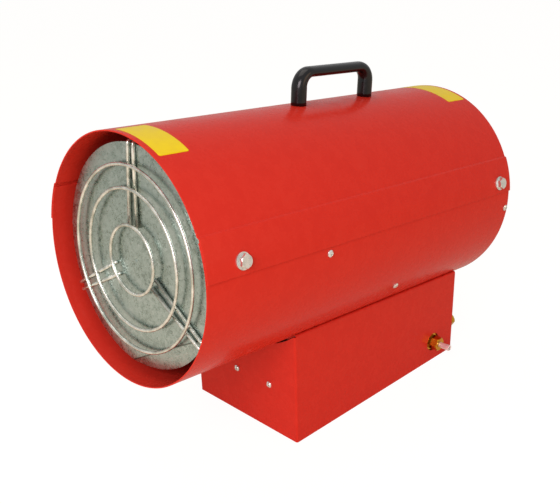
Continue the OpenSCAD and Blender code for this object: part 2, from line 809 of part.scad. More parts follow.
module base_wrap() color("firebrick") {
    difference() {
        linear_extrude(axis_h) difference() {
            base_outline(0);
            base_outline(base_sheet);
        }
        above_base();
        translate([side_in_x - overrun, inlet_y, inlet_z]) rotate([0, 90, 0])
            cylinder(h = base_sheet + 2 * overrun, d = inlet_hole_d);
        weld_places() dimple(weld_d, weld_deep);
        front_screw_places() translate([0, 0, -base_sheet - overrun])
            cylinder(h = base_sheet + 2 * overrun, d = pan_shank_d + 2 * screw_clearance);
    }
    difference() {
        intersection() {
            union() for (side = [0, 1]) saddle_flange(side);
            translate([-side_out_x, base_front_y + base_fold_r, 0])
                cube([base_w, base_l - base_fold_r, axis_h]);
        }
        on_casing() saddle_screw_places()
            cylinder(h = casing_r + 2 * base_fold_r, d = pan_shank_d + 2 * screw_clearance);
    }
    difference() {
        for (side = [0, 1], z = return_tab_z) mirror([side, 0, 0])
            translate([side_out_x - return_tab_w, base_rear_y - base_sheet, z])
                cube([return_tab_w, base_sheet, return_tab_h]);
        panel_screw_places() translate([0, 0, -base_sheet - overrun])
            cylinder(h = base_sheet + 2 * overrun, d = pan_shank_d + 2 * slide_fit);
    }
}

module base_plate() color("firebrick") {
    half_w = side_in_x - plate_fit;
    front_y = base_front_y + base_sheet + plate_fit;
    plate_l = base_rear_y - base_sheet - plate_fit - front_y;
    difference() {
        translate([-half_w, front_y, 0]) cube([2 * half_w, plate_l, base_sheet]);
        for (i = [0 : vent_count - 1], side = [-1, 1])
            translate([side * base_w / 4 - vent_l / 2, base_y + (i - vent_count / 2) * vent_pitch, -overrun])
                cube([vent_l, vent_w, base_sheet + 2 * overrun]);
    }
    for (side = [0, 1]) mirror([side, 0, 0]) translate([half_w - base_sheet, front_y + base_fold_r, 0])
        cube([base_sheet, plate_l - base_fold_r, plate_flange]);
    translate([base_fold_r - half_w, front_y, 0])
        cube([2 * (half_w - base_fold_r), base_sheet, plate_flange]);
}

module saddle_screws() color("silver") on_casing() saddle_screw_places()
    translate([0, 0, saddle_in_r + base_sheet]) pan_screw(panel_screw_d, pan_h, pan_shank_d, pan_shank_l);

module control_panel() color("firebrick") difference() {
    cut_l = base_sheet + 2 * overrun;
    translate([base_fold_r - side_out_x, base_rear_y, panel_floor_gap])
        cube([base_w - 2 * base_fold_r, base_sheet, axis_h]);
    above_base();
    panel_screw_places() translate([0, 0, -overrun])
        cylinder(h = cut_l, d = pan_shank_d + 2 * screw_clearance);
    translate([valve_x, base_rear_y - overrun, plunger_z]) rearwards()
        cylinder(h = cut_l, d = bonnet_d + 2 * screw_clearance);
    translate([igniter_x, base_rear_y - overrun, igniter_z]) rearwards()
        cylinder(h = cut_l, d = igniter_d + 2 * screw_clearance);
    translate([gland_x, base_rear_y - overrun, gland_z]) rearwards()
        cylinder(h = cut_l, d = gland_thread_d + 2 * screw_clearance);
    translate([switch_x - switch_w / 2 - screw_clearance, base_rear_y - overrun,
        switch_z - switch_h / 2 - screw_clearance])
        cube([switch_w + 2 * screw_clearance, cut_l, switch_h + 2 * screw_clearance]);
}

module panel_screws() color("silver") panel_screw_places()
    translate([0, 0, base_sheet]) pan_screw(panel_screw_d, pan_h, pan_shank_d, pan_shank_l);

// Half of a face of the channel, a given distance behind the side of the base
function channel_half(back) = [[back, 0], [back, channel_flange - back],
    [channel_deep + back, channel_flange + base_sheet - back]];
function channel_face(back) = concat(channel_half(back),
    [for (p = reversed(channel_half(back))) [p.x, channel_h - p.y]]);

module side_channel() color("silver") translate([side_in_x, channel_y + channel_l / 2, channel_z])
    forwards() linear_extrude(channel_l) mirror([1, 0])
        polygon(concat(channel_face(0), reversed(channel_face(base_sheet))));

module terminal_bracket() color("silver") difference() {
    bracket_w = front_screw_x[1] - front_screw_x[0] + 2 * terminal_margin;
    translate([terminal_mid_x - bracket_w / 2, base_front_y + base_sheet, front_screw_z - terminal_h / 2]) {
        cube([bracket_w, base_sheet, terminal_h]);
        cube([bracket_w, terminal_shelf_l, base_sheet]);
    }
    front_screw_places() translate([0, 0, -2 * base_sheet - overrun])
        cylinder(h = 2 * base_sheet + overrun, d = pan_shank_d + 2 * slide_fit);
}

module bracket_screws() color("silver") front_screw_places()
    pan_screw(pan_d, pan_h, pan_shank_d, pan_shank_l);

module terminal_block() color("ivory")
    translate([terminal_mid_x - block_w / 2, base_front_y + base_sheet + terminal_shelf_l - block_l,
        front_screw_z - terminal_h / 2 + base_sheet]) {
        way_w = block_w / block_ways;
        cube([block_w, block_l, block_low_h]);
        difference() {
            for (i = [0 : block_ways - 1]) translate([(i + (1 - block_way_share) / 2) * way_w, 0, 0])
                cube([way_w * block_way_share, block_l, block_h]);
            for (i = [0 : block_ways - 1], end = [1, 3])
                translate([(i + 1 / 2) * way_w, end * block_l / 4, block_h - block_screw_deep])
                    cylinder(h = block_screw_deep + overrun, d = block_screw_d);
        }
    }

// Burner, nozzle and gas pipe

module burner_cup() color("silver") on_casing() difference() {
    neck_in_r = nozzle_neck_d / 2 + screw_clearance;
    translate([0, burner_plate_s, 0]) forwards() rotate_extrude() polygon([
        [neck_in_r, 0], [burner_neck_r, 0], [burner_neck_r, burner_neck_l], [burner_mouth_r, burner_l],
        [burner_mouth_r - burner_sheet, burner_l], [burner_neck_r - burner_sheet, burner_neck_l],
        [burner_neck_r - burner_sheet, burner_sheet], [neck_in_r, burner_sheet]]);
    for (i = [0 : burner_hole_count - 1]) rotate([0, 360 * i / burner_hole_count, 0])
        translate([0, burner_plate_s - burner_l * burner_hole_share, burner_neck_r - 2 * burner_sheet])
            cylinder(h = burner_mouth_r, d = burner_hole_d);
}

module burner_bracket() color("silver") on_casing() difference() {
    hole_l = burner_plate_t + 2 * overrun;
    union() {
        strap(burner_screw_angle, burner_bar_angle, burner_plate_s);
        translate([-riser_w / 2, burner_plate_s, burner_bar_z])
            cube([riser_w, burner_plate_t, riser_top - burner_bar_z]);
    }
    translate([0, burner_plate_s - overrun, 0]) rearwards()
        cylinder(h = hole_l, d = nozzle_neck_d + 2 * screw_clearance);
    translate([probe_x, burner_plate_s - overrun, probe_z]) rearwards()
        cylinder(h = hole_l, d = probe_d + 2 * screw_clearance);
    translate([electrode_x, burner_plate_s - overrun, probe_z]) rearwards()
        cylinder(h = hole_l, d = electrode_d + 2 * screw_clearance);
    translate([0, pipe_riser_s, burner_bar_z - 2 * strap_t])
        cylinder(h = 4 * strap_t, d = pipe_d + 2 * pipe_hole_gap);
    for (x = [probe_x, electrode_x]) translate([x, lead_drop_s, burner_bar_z - 2 * strap_t])
        cylinder(h = 4 * strap_t, d = lead_d + 2 * pipe_hole_gap);
    burner_screw_places() cylinder(h = casing_r, d = pan_shank_d + 2 * slide_fit);
}

module gas_nozzle() color("goldenrod") on_casing() difference() {
    neck_l = burner_plate_t + burner_sheet + nozzle_neck_out;
    union() {
        translate([0, nozzle_back_s, 0]) rearwards() hex_prism(nozzle_af, nozzle_l);
        translate([0, nozzle_back_s, 0]) forwards() cylinder(h = neck_l, d = nozzle_neck_d);
        translate([0, nozzle_back_s - neck_l, 0]) forwards()
            cylinder(h = nozzle_tip_l, d1 = nozzle_neck_d, d2 = nozzle_tip_d);
    }
    translate([0, nozzle_back_s, 0]) forwards()
        cylinder(h = neck_l + nozzle_tip_l + overrun, d = nozzle_jet_d);
}

module gas_pipe() color("peru") swept(rounded([[valve_x, outlet_y, valve_top_z + outlet_boss_h],
    [valve_x, outlet_y, pipe_run_z], [0, outlet_y, pipe_run_z], dropped(0, pipe_riser_s, pipe_run_z),
    from_casing([0, pipe_riser_s, -nozzle_af / 2])], pipe_bend_r), pipe_d / 2, pipe_sides, [0, 1, 0]);

// Gas valve and its fittings

module gas_valve() color("goldenrod") difference() {
    inlet_end_x = side_out_x + inlet_nut_out;
    union() {
        translate([valve_x - valve_w / 2, valve_front_y, valve_low_z])
            cube([valve_w, valve_rear_y - valve_front_y, valve_top_z - valve_low_z]);
        translate([valve_x, valve_rear_y, plunger_z]) rearwards() {
            cylinder(h = bonnet_end_y - valve_rear_y, d = bonnet_d);
            cylinder(h = base_rear_y - valve_rear_y, d = bonnet_shoulder_d);
        }
        translate([valve_x, inlet_y, inlet_z]) rotate([0, 90, 0])
            cylinder(h = inlet_end_x - valve_x, d = inlet_boss_d);
        translate([valve_x, outlet_y, valve_top_z]) cylinder(h = outlet_boss_h, d = outlet_boss_d);
        translate([valve_x, lead_boss_y, valve_top_z]) cylinder(h = lead_boss_h, d = lead_boss_d);
    }
    translate([valve_x, bonnet_end_y - plunger_in - plunger_travel - overrun, plunger_z]) rearwards()
        cylinder(h = base_l, d = plunger_d + 2 * slide_fit);
    translate([inlet_end_x - spigot_in, inlet_y, inlet_z]) rotate([0, 90, 0])
        cylinder(h = spigot_in + overrun, d = spigot_root_d + 2 * slide_fit);
}

module valve_nut() color("gold") translate([valve_x, base_rear_y + base_sheet, plunger_z]) rearwards()
    difference() {
        turned_hex(valve_nut_af, valve_nut_h);
        translate([0, 0, -overrun]) cylinder(h = valve_nut_h + 2 * overrun, d = bonnet_d + 2 * slide_fit);
    }

module valve_plunger() color("gold") translate([valve_x, bonnet_end_y + plunger_out, plunger_z])
    forwards() {
        cylinder(h = nut_chamfer, d1 = plunger_d - 2 * nut_chamfer, d2 = plunger_d);
        translate([0, 0, nut_chamfer]) cylinder(h = plunger_out + plunger_in - nut_chamfer, d = plunger_d);
    }

module inlet_nut() color("gold") translate([inlet_nut_x, inlet_y, inlet_z]) rotate([0, 90, 0])
    difference() {
        nut_l = side_out_x + inlet_nut_out - inlet_nut_x;
        rotate([0, 0, 30]) turned_hex(inlet_af, nut_l);
        translate([0, 0, -overrun]) cylinder(h = nut_l + 2 * overrun, d = inlet_boss_d + 2 * slide_fit);
    }

module inlet_spigot() color("mistyrose") translate([side_out_x + spigot_reach, inlet_y, inlet_z])
    rotate([0, -90, 0]) rotate_extrude() {
        bore_r = spigot_bore_d / 2;
        tail_r = spigot_d / 2;
        root_r = spigot_root_d / 2;
        root_end = spigot_reach - inlet_nut_out + spigot_in;
        polygon([[bore_r, 0], [tail_r, 0], [tail_r, spigot_tail_l], [root_r, spigot_tail_l],
            [root_r, root_end], [bore_r, root_end]]);
    }

// Thermocouple, spark electrode and the lead of each

module thermocouple() color("peru") {
    on_casing() {
        translate([probe_x, burner_plate_s - probe_l, probe_z]) rearwards() {
            cylinder(h = probe_l + lead_start_s - burner_plate_s, d = probe_d);
            translate([0, 0, -probe_d / 2]) cylinder(h = probe_d / 2, d1 = probe_d / 2, d2 = probe_d);
        }
        translate([probe_x, nozzle_back_s, probe_z]) rearwards() hex_prism(probe_nut_af, probe_nut_h);
    }
    swept(rounded([from_casing([probe_x, lead_start_s - overrun, probe_z]),
        from_casing([probe_x, lead_drop_s, probe_z]), dropped(probe_x, lead_drop_s, lead_run_z),
        [probe_x, lead_boss_y, lead_run_z], [valve_x, lead_boss_y, lead_run_z],
        [valve_x, lead_boss_y, valve_top_z + lead_boss_h]], lead_bend_r), lead_d / 2, lead_sides, [1, 0, 0]);
}

module spark_electrode() color("white") on_casing() translate([electrode_x, 0, probe_z]) {
    front_s = burner_plate_s - electrode_l;
    translate([0, front_s, 0]) rearwards() cylinder(h = lead_start_s - front_s, d = electrode_d);
    translate([0, nozzle_back_s, 0]) rearwards() cylinder(h = probe_nut_h, d = electrode_collar_d);
    swept([[0, front_s + overrun, 0], [0, front_s - electrode_wire_l / 2, 0],
        [-electrode_wire_in, front_s - electrode_wire_l, -electrode_wire_in]],
        electrode_wire_d / 2, lead_sides, [0, 0, 1]);
}

module ignition_lead() color("black") swept(rounded([from_casing([electrode_x, lead_start_s, probe_z]),
    from_casing([electrode_x, lead_drop_s, probe_z]), dropped(electrode_x, lead_drop_s, igniter_z),
    [igniter_x, (base_y + igniter_post_y) / 2, igniter_z], [igniter_x, igniter_post_y, igniter_z]],
    lead_bend_r), lead_d / 2, lead_sides, [1, 0, 0]);

// Controls in the rear panel

module igniter_body() color("dimgray") translate([igniter_x, base_rear_y + base_sheet, igniter_z])
    rearwards() difference() {
        union() {
            cylinder(h = igniter_collar_h, d = igniter_collar_d);
            translate([0, 0, -igniter_l]) cylinder(h = igniter_l, d = igniter_d);
            translate([0, 0, -igniter_l - igniter_post_l]) cylinder(h = igniter_post_l, d = igniter_post_d);
        }
        translate([0, 0, igniter_collar_h - igniter_button_in - igniter_travel - overrun])
            cylinder(h = igniter_l, d = igniter_button_d + 2 * slide_fit);
    }

module igniter_nut() color("silver") translate([igniter_x, base_rear_y, igniter_z]) forwards() difference() {
    turned_hex(igniter_nut_af, igniter_nut_h);
    translate([0, 0, -overrun]) cylinder(h = igniter_nut_h + 2 * overrun, d = igniter_d + 2 * slide_fit);
}

module igniter_button() color("black")
    translate([igniter_x, base_rear_y + base_sheet + igniter_collar_h + igniter_button_out, igniter_z])
        forwards() {
            cylinder(h = nut_chamfer, d1 = igniter_button_d - 2 * nut_chamfer, d2 = igniter_button_d);
            translate([0, 0, nut_chamfer])
                cylinder(h = igniter_button_out + igniter_button_in - nut_chamfer, d = igniter_button_d);
        }

module switch_housing() color("dimgray") translate([switch_x, base_rear_y + base_sheet, switch_z])
    difference() {
        pin_l = switch_well_w + 2 * rocker_pin_l + 2 * slide_fit;
        union() {
            translate([-bezel_w / 2, 0, -bezel_h / 2]) cube([bezel_w, bezel_t, bezel_h]);
            translate([-switch_w / 2, -switch_l, -switch_h / 2]) cube([switch_w, switch_l, switch_h]);
        }
        translate([-switch_well_w / 2, bezel_t - switch_well, -switch_well_h / 2])
            cube([switch_well_w, switch_well + overrun, switch_well_h]);
        translate([0, -rocker_pin_in, 0]) rotate([0, 90, 0])
            cylinder(h = pin_l, d = rocker_pin_d + 2 * slide_fit, center = true);
    }

module switch_rocker() color("green")
    translate([switch_x, base_rear_y + base_sheet - rocker_pin_in, switch_z])
    rotate([-rocker_swing / 2, 0, 0]) {
        half_w = switch_well_w / 2 - rocker_gap;
        half_h = switch_well_h / 2 - rocker_gap - rocker_root * tan(rocker_swing / 2);
        face = rocker_pin_in + bezel_t;
        translate([-half_w, 0, 0]) rotate([90, 0, 90]) linear_extrude(2 * half_w) polygon([
            [face, 0], [face + rocker_rise, half_h], [-rocker_root / 2, half_h], [-rocker_root, 0],
            [-rocker_root / 2, -half_h], [face + rocker_rise, -half_h]]);
        rotate([0, 90, 0])
            cylinder(h = 2 * (half_w + rocker_gap + rocker_pin_l), d = rocker_pin_d, center = true);
    }

module cable_gland() color("dimgray") translate([gland_x, base_rear_y + base_sheet, gland_z]) rearwards()
    difference() {
        union() {
            hex_prism(gland_hex_af, gland_hex_h);
            translate([0, 0, gland_hex_h]) cylinder(h = gland_nose_h, d1 = gland_hex_af, d2 = gland_nose_d);
            translate([0, 0, -gland_in]) cylinder(h = gland_in, d = gland_thread_d);
        }
        translate([0, 0, -gland_in - overrun])
            cylinder(h = gland_in + gland_hex_h + gland_nose_h + 2 * overrun, d = cable_bore_d);
    }

module gland_nut() color("dimgray") translate([gland_x, base_rear_y, gland_z]) forwards() difference() {
    turned_hex(gland_nut_af, gland_nut_h);
    translate([0, 0, -overrun]) cylinder(h = gland_nut_h + 2 * overrun, d = gland_thread_d + 2 * slide_fit);
}

// Fan, motor and rear grille

function blade_point(i, j, side) = let (
    t = i / (blade_stations - 1), u = j / (blade_points - 1) - 1 / 2,
    r = blade_root_r + (fan_tip_r - blade_root_r) * t,
    chord = blade_root_chord + (blade_tip_chord - blade_root_chord) * t,
    pitch = blade_root_pitch + (blade_tip_pitch - blade_root_pitch) * t,
    bow = chord * blade_camber_share * (1 - pow(2 * u, 2)) + side * blade_t / 2,
    around = arc_angle(chord * u * cos(pitch) - bow * sin(pitch), r))
    [r * cos(around), r * sin(around), chord * u * sin(pitch) + bow * cos(pitch)];
// True for a triangle that lies wholly in the first or the last station of a blade
function at_end(f) = let (n = 2 * blade_points) max(f) < n || min(f) >= (blade_stations - 1) * n;
// The two triangles that close a blade's section between its points j and j + 1
function end_pair(i, j) = let (n = 2 * blade_points, a = i * n + j, b = i * n + n - 1 - j)
    i == 0 ? [[a, a + 1, b], [a + 1, b - 1, b]] : [[a, b, a + 1], [a + 1, b, b - 1]];

// One pitched and bowed blade: each station is a closed loop round the blade's section
module blade() polyhedron([for (i = [0 : blade_stations - 1]) each concat(
        [for (j = [0 : blade_points - 1]) blade_point(i, j, -1)],
        [for (j = [blade_points - 1 : -1 : 0]) blade_point(i, j, 1)])],
    concat([for (f = tube_faces(blade_stations, 2 * blade_points)) if (!at_end(f)) f],
        [for (j = [0 : blade_points - 2], i = [0, blade_stations - 1]) each end_pair(i, j)]));

module fan() color("lightsteelblue") on_casing() translate([0, fan_s, 0]) rearwards() difference() {
    union() {
        translate([0, 0, fan_nose - fan_hub_l / 2]) cylinder(h = fan_hub_l - fan_nose, r = fan_hub_r);
        translate([0, 0, -fan_hub_l / 2]) cylinder(h = fan_nose, r1 = fan_hub_r - fan_nose, r2 = fan_hub_r);
        for (i = [0 : blade_count - 1]) rotate([0, 0, 360 * i / blade_count]) blade();
    }
    translate([0, 0, -fan_hub_l]) cylinder(h = 2 * fan_hub_l, d = shaft_d + 2 * slide_fit);
}

module motor_shaft() color("silver") on_casing() translate([0, shaft_front_s, 0]) rearwards()
    cylinder(h = motor_front_s + bearing_l - shaft_front_s, d = shaft_d);

module motor_screw_places() for (a = [45 : 90 : 315]) rotate([0, 0, a])
    translate([motor_screw_pcr, 0, 0]) children();

module motor() color("gray") on_casing() translate([0, motor_front_s, 0]) rearwards() difference() {
    end_r = motor_d / 2 - motor_bell_inset;
    barrel_l = motor_l - 2 * motor_bell;
    union() {
        cylinder(h = motor_bell, r1 = end_r, r2 = motor_d / 2);
        translate([0, 0, motor_bell]) cylinder(h = barrel_l, d = motor_d);
        translate([0, 0, motor_l - motor_bell]) cylinder(h = motor_bell, r1 = motor_d / 2, r2 = end_r);
        translate([0, 0, -motor_boss_h]) cylinder(h = motor_boss_h, r = motor_boss_r);
    }
    translate([0, 0, -motor_boss_h - overrun])
        cylinder(h = motor_boss_h + bearing_l + 2 * overrun, d = shaft_d + 2 * slide_fit);
    for (i = [0 : motor_fin_count - 1]) rotate([0, 0, 360 * i / motor_fin_count])
        translate([motor_d / 2 - motor_fin_deep, -motor_fin_w / 2, motor_bell + motor_fin_inset])
            cube([2 * motor_fin_deep, motor_fin_w, barrel_l - 2 * motor_fin_inset]);
    motor_screw_places() translate([0, 0, motor_l - motor_screw_l])
        cylinder(h = motor_screw_l + overrun, d = motor_screw_d + 2 * slide_fit);
}

module motor_screws() color("silver") on_casing() translate([0, bracket_s + strap_t, 0]) rearwards()
    motor_screw_places() pan_screw(motor_screw_head_d, motor_screw_head_h, motor_screw_d, motor_screw_l);

module motor_bracket() color("silver") on_casing() difference() {
    union() {
        strap(casing_bolt_angle, motor_bar_angle, bracket_s);
        translate([-motor_plate_w / 2, bracket_s, -motor_plate_h / 2])
            cube([motor_plate_w, strap_t, motor_plate_h]);
    }
    casing_bolt_places([casing_bolt_rear]) cylinder(h = casing_r, d = bolt_d + 2 * screw_clearance);
    translate([0, bracket_s - overrun, 0]) rearwards() motor_screw_places()
        cylinder(h = strap_t + 2 * overrun, d = motor_screw_d + 2 * screw_clearance);
}

module rear_grille() color("dimgray") on_casing() {
    tab_s = grille_screw_s - grille_tab_l / 2;
    tab_r = casing_in_r - seat_gap;
    ring_pitch = (grille_r - grille_hub_r) / (grille_ring_count - 1);
    translate([0, grille_s, 0]) rearwards() for (i = [0 : grille_ring_count - 1])
        rotate_extrude() translate([grille_hub_r + ring_pitch * i, 0])
            circle(d = grille_wire_d, $fn = wire_fn);
    for (a = grille_spoke_angles) outwards(a, grille_s - grille_wire_d + grille_weld, grille_hub_r)
        cylinder(h = grille_r - grille_hub_r, d = grille_wire_d);
    translate([0, grille_s - grille_hub_t / 2, 0]) rearwards() cylinder(h = grille_hub_t, r = grille_hub_r);
    difference() {
        for (a = [grille_screw_angle, 180 - grille_screw_angle, bottom_angle]) {
            a0 = a - grille_tab_half_angle;
            a1 = a + grille_tab_half_angle;
            ring_sector(tab_r - grille_tab_t, tab_r, a0, a1, tab_s, tab_s + grille_tab_l);
            ring_sector(grille_r, tab_r, a0, a1, tab_s, tab_s + grille_tab_t);
        }
        grille_screw_places() cylinder(h = casing_r, d = pan_shank_d + 2 * slide_fit);
    }
}

module overheat_cutout() color("gray") on_casing()
    outwards(cutout_angle, cutout_s, flat_seat(casing_in_r, cutout_d)) mirror([0, 0, 1]) {
        cylinder(h = cutout_h, d = cutout_d);
        translate([-cutout_tab_w / 2, -cutout_tab_l / 2, 0]) cube([cutout_tab_w, cutout_tab_l, cutout_tab_t]);
        for (side = [-1, 1]) translate([-cutout_blade_w / 2, side * cutout_blade_gap / 2 - cutout_blade_t / 2,
            cutout_h]) cube([cutout_blade_w, cutout_blade_t, cutout_blade_l]);
    }

upper_shell();
lower_shell();
casing_bolts();
casing_nuts();
shell_screws();
handle();
handle_screws();
flame_disc();
disc_stays();
guard_rings();
guard_spokes();
flame_tube();
flame_tube_brackets();
base_wrap();
base_plate();
control_panel();
panel_screws();
side_channel();
saddle_screws();
terminal_bracket();
terminal_block();
bracket_screws();
burner_cup();
burner_bracket();
gas_nozzle();
gas_pipe();
gas_valve();
valve_nut();
valve_plunger();
inlet_nut();
inlet_spigot();
thermocouple();
spark_electrode();
ignition_lead();
igniter_body();
igniter_nut();
igniter_button();
switch_housing();
switch_rocker();
cable_gland();
gland_nut();
fan();
motor_shaft();
motor();
motor_bracket();
motor_screws();
rear_grille();
overheat_cutout();
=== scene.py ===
"""Looks of a portable gas forced air heater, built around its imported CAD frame.

The round casing is tipped by a few degrees on its base, so most pieces are worked out in the
casing's own frame (x across, s back from the outlet rim, z out from the axis, in millimetres) and
then placed in the floor's frame in metres.
"""

import json
import logging
import math
from dataclasses import dataclass
from enum import Enum
from typing import Any

import bmesh
import bpy
import numpy as np
from mathutils import Matrix, Vector

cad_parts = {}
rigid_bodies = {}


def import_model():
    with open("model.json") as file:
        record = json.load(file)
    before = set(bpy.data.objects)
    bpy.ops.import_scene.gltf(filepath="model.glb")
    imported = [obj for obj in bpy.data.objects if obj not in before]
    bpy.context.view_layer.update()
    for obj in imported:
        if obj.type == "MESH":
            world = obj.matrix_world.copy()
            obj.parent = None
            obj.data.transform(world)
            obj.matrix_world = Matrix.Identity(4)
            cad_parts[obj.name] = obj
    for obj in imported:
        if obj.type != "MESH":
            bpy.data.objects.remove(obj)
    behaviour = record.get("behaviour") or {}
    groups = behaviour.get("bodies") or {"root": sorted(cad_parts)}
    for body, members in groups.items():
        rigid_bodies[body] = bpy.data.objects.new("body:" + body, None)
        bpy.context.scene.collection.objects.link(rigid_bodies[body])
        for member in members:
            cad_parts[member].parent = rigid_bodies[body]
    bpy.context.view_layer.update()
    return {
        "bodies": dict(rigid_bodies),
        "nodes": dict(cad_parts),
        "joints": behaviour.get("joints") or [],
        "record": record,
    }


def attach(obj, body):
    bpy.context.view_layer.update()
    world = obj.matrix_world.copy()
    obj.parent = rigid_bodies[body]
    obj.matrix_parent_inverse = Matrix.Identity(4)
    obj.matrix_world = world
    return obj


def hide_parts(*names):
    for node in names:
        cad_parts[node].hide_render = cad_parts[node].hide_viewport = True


LOG = logging.getLogger("heater")
MM = 0.001
TURN = 2.0 * math.pi
WHITE = "#ffffff"
# A direction that no path's first step follows, from which a tube's first normal is taken
OFF_AXIS = (0.31, 0.52, 0.79)
# Points closer than this are one point, in metres: in the scene's own pieces and in CAD nodes
MERGE = 1e-6
NODE_MERGE = 2e-6
# Triangles of a CAD node that meet at less than this are one flat face, in degrees
FLAT_DEG = 0.4
# An edge is broken from this angle up, in degrees, by so many steps
BREAK_DEG = 40.0
BREAK_STEPS = 2
# Faces that meet at less than this are shaded as one curve: plates, coarse round wires, the bend
SMOOTH_DEG = 32.0
WIRE_SMOOTH_DEG = 50.0
BEND_SMOOTH_DEG = 5.0

Number = float | np.ndarray
Piece = bpy.types.Object
Material = bpy.types.Material
Owner = Material | bpy.types.World
Node = bpy.types.Node
Socket = bpy.types.NodeSocket


def linear(code: str) -> tuple[float, float, float, float]:
    """Turns an sRGB hex colour into the linear colour that a socket takes.

    Args:
        code: six hex digits, with or without a leading hash.

    Returns:
        Red, green and blue in linear light, and an alpha of one.
    """
    digits = code.lstrip("#")
    srgb = np.array([int(digits[i : i + 2], 16) / 255.0 for i in (0, 2, 4)])
    out = np.where(srgb <= 0.04045, srgb / 12.92, ((srgb + 0.055) / 1.055) ** 2.4)
    return (float(out[0]), float(out[1]), float(out[2]), 1.0)


def add_node(
    owner: Owner,
    kind: str,
    settings: dict[str | int, Any] | None = None,
    links: dict[str | int, Socket] | None = None,
    stops: tuple[tuple[float, str], ...] = (),
) -> Node:
    """Adds one shader node.

    Args:
        owner: the material or world that it goes into.
        kind: the node's type name.
        settings: attributes of the node, or values of its inputs by name or number.
        links: output socket to feed into each input, by the input's name or number.
        stops: position and hex colour of each stop of a colour ramp, in order.

    Returns:
        The new node.
    """
    tree = owner.node_tree
    node = tree.nodes.new(kind)
    for name, value in (settings or {}).items():
        if isinstance(name, int) or name in node.inputs:
            node.inputs[name].default_value = value
        else:
            setattr(node, name, value)
    for name, source in (links or {}).items():
        tree.links.new(source, node.inputs[name])
    if stops:
        elements = node.color_ramp.elements
        while len(elements) < len(stops):
            elements.new(0.5)
        for element, (spot, code) in zip(elements, stops):
            element.position = spot
            element.color = linear(code)
    return node


@dataclass(frozen=True)
class CasingFrame:
    """The casing's own frame, tipped up at the outlet, and its way into the floor's frame."""

    tilt: float = math.radians(4.5)
    length: float = 523.0
    base_back: float = 317.8
    axis_height: float = 237.6
    radius: float = 135.0
    sheet: float = 1.5

    @property
    def base_y(self) -> float:
        """Distance of the base's middle behind the origin, in millimetres."""
        return (2.0 * self.base_back - self.length) / 2.0 * math.cos(self.tilt)

    @property
    def middle_radius(self) -> float:
        """Radius of the middle of the sheet, where it isn't lapped."""
        return self.radius - self.sheet / 2.0

    def place(self, x: Number, s: Number, z: Number) -> np.ndarray:
        """Places points of the casing's frame in the floor's frame.

        Args:
            x: distance across, in millimetres, as a number or an array.
            s: distance back from the outlet rim.
            z: distance above the axis.

        Returns:
            The points in metres, with the coordinate as the last axis.
        """
        across, back, up = np.broadcast_arrays(
            np.asarray(x, float), np.asarray(s, float), np.asarray(z, float)
        )
        cos, sin = math.cos(self.tilt), math.sin(self.tilt)
        y = self.base_y + (back - self.base_back) * cos + up * sin
        height = self.axis_height - (back - self.base_back) * sin + up * cos
        return np.stack([across, y, height], axis=-1) * MM

    def around(self, radius: Number, angle: Number, s: Number) -> np.ndarray:
        """Places points given by radius, angle in degrees from +X, and distance back."""
        turn = np.radians(angle)
        return self.place(radius * np.cos(turn), s, radius * np.sin(turn))


CASING = CasingFrame()


def unit(vector: np.ndarray) -> np.ndarray:
    """The vector of length one in that direction."""
    return vector / np.linalg.norm(vector)


def spans(marks: list[float], counts: tuple[int, ...]) -> np.ndarray:
    """Numbers that run through the marks, evenly spaced within each span.

    Args:
        marks: where the spans begin and end.
        counts: how many numbers each span has, both its marks included.

    Returns:
        All the numbers, each mark once.
    """
    runs = [np.linspace(a, b, n)[:-1] for a, b, n in zip(marks[:-1], marks[1:], counts)]
    return np.append(np.concatenate(runs), marks[-1])


def make_piece(name: str, points: np.ndarray, faces: np.ndarray, material: Material) -> Piece:
    """Makes a smooth-shaded mesh object at the origin.

    Args:
        name: the piece's name.
        points: its points in metres, with the coordinate as the last axis.
        faces: its faces, one row of point numbers each.
        material: its finish.

    Returns:
        The new object, linked to the scene.
    """
    mesh = bpy.data.meshes.new(name)
    mesh.from_pydata(points.reshape(-1, 3), [], faces.tolist())
    mesh.polygons.foreach_set("use_smooth", np.ones(len(mesh.polygons), bool))
    mesh.materials.append(material)
    mesh.validate()
    piece = bpy.data.objects.new(name, mesh)
    bpy.context.scene.collection.objects.link(piece)
    return piece


def grid_faces(rows: int, columns: int, wrap: bool = False) -> np.ndarray:
    """Quads of a grid of points, row after row.

    Args:
        rows: number of rows.
        columns: number of points in a row.
        wrap: whether the last column joins the first.

    Returns:
        The quads as an array of four columns.
    """
    steps = columns if wrap else columns - 1
    row, column = np.meshgrid(np.arange(rows - 1), np.arange(steps), indexing="ij")
    after = (column + 1) % columns
    low, high = row * columns, (row + 1) * columns
    quads = np.stack([low + column, low + after, high + after, high + column], axis=-1)
    return quads.reshape(-1, 4)


def closed_tube(rings: np.ndarray, ends: np.ndarray) -> tuple[np.ndarray, np.ndarray]:
    """Closes a row of rings: the grid between them is halved into triangles, and fans cap it.

    Args:
        rings: points, with the ring, the place round it and the coordinate as axes.
        ends: the points in the middle of the first and the last ring.

    Returns:
        Points and triangles of the closed tube.
    """
    count, sides = rings.shape[:2]
    quads = grid_faces(count, sides, wrap=True)
    here = np.arange(sides)
    there = (here + 1) % sides
    last = (count - 1) * sides
    low = np.stack([np.full(sides, count * sides), there, here], axis=1)
    high = np.stack([np.full(sides, count * sides + 1), last + here, last + there], axis=1)
    points = np.vstack([rings.reshape(-1, 3), ends])
    return points, np.vstack([quads[:, [0, 1, 2]], quads[:, [0, 2, 3]], low, high])


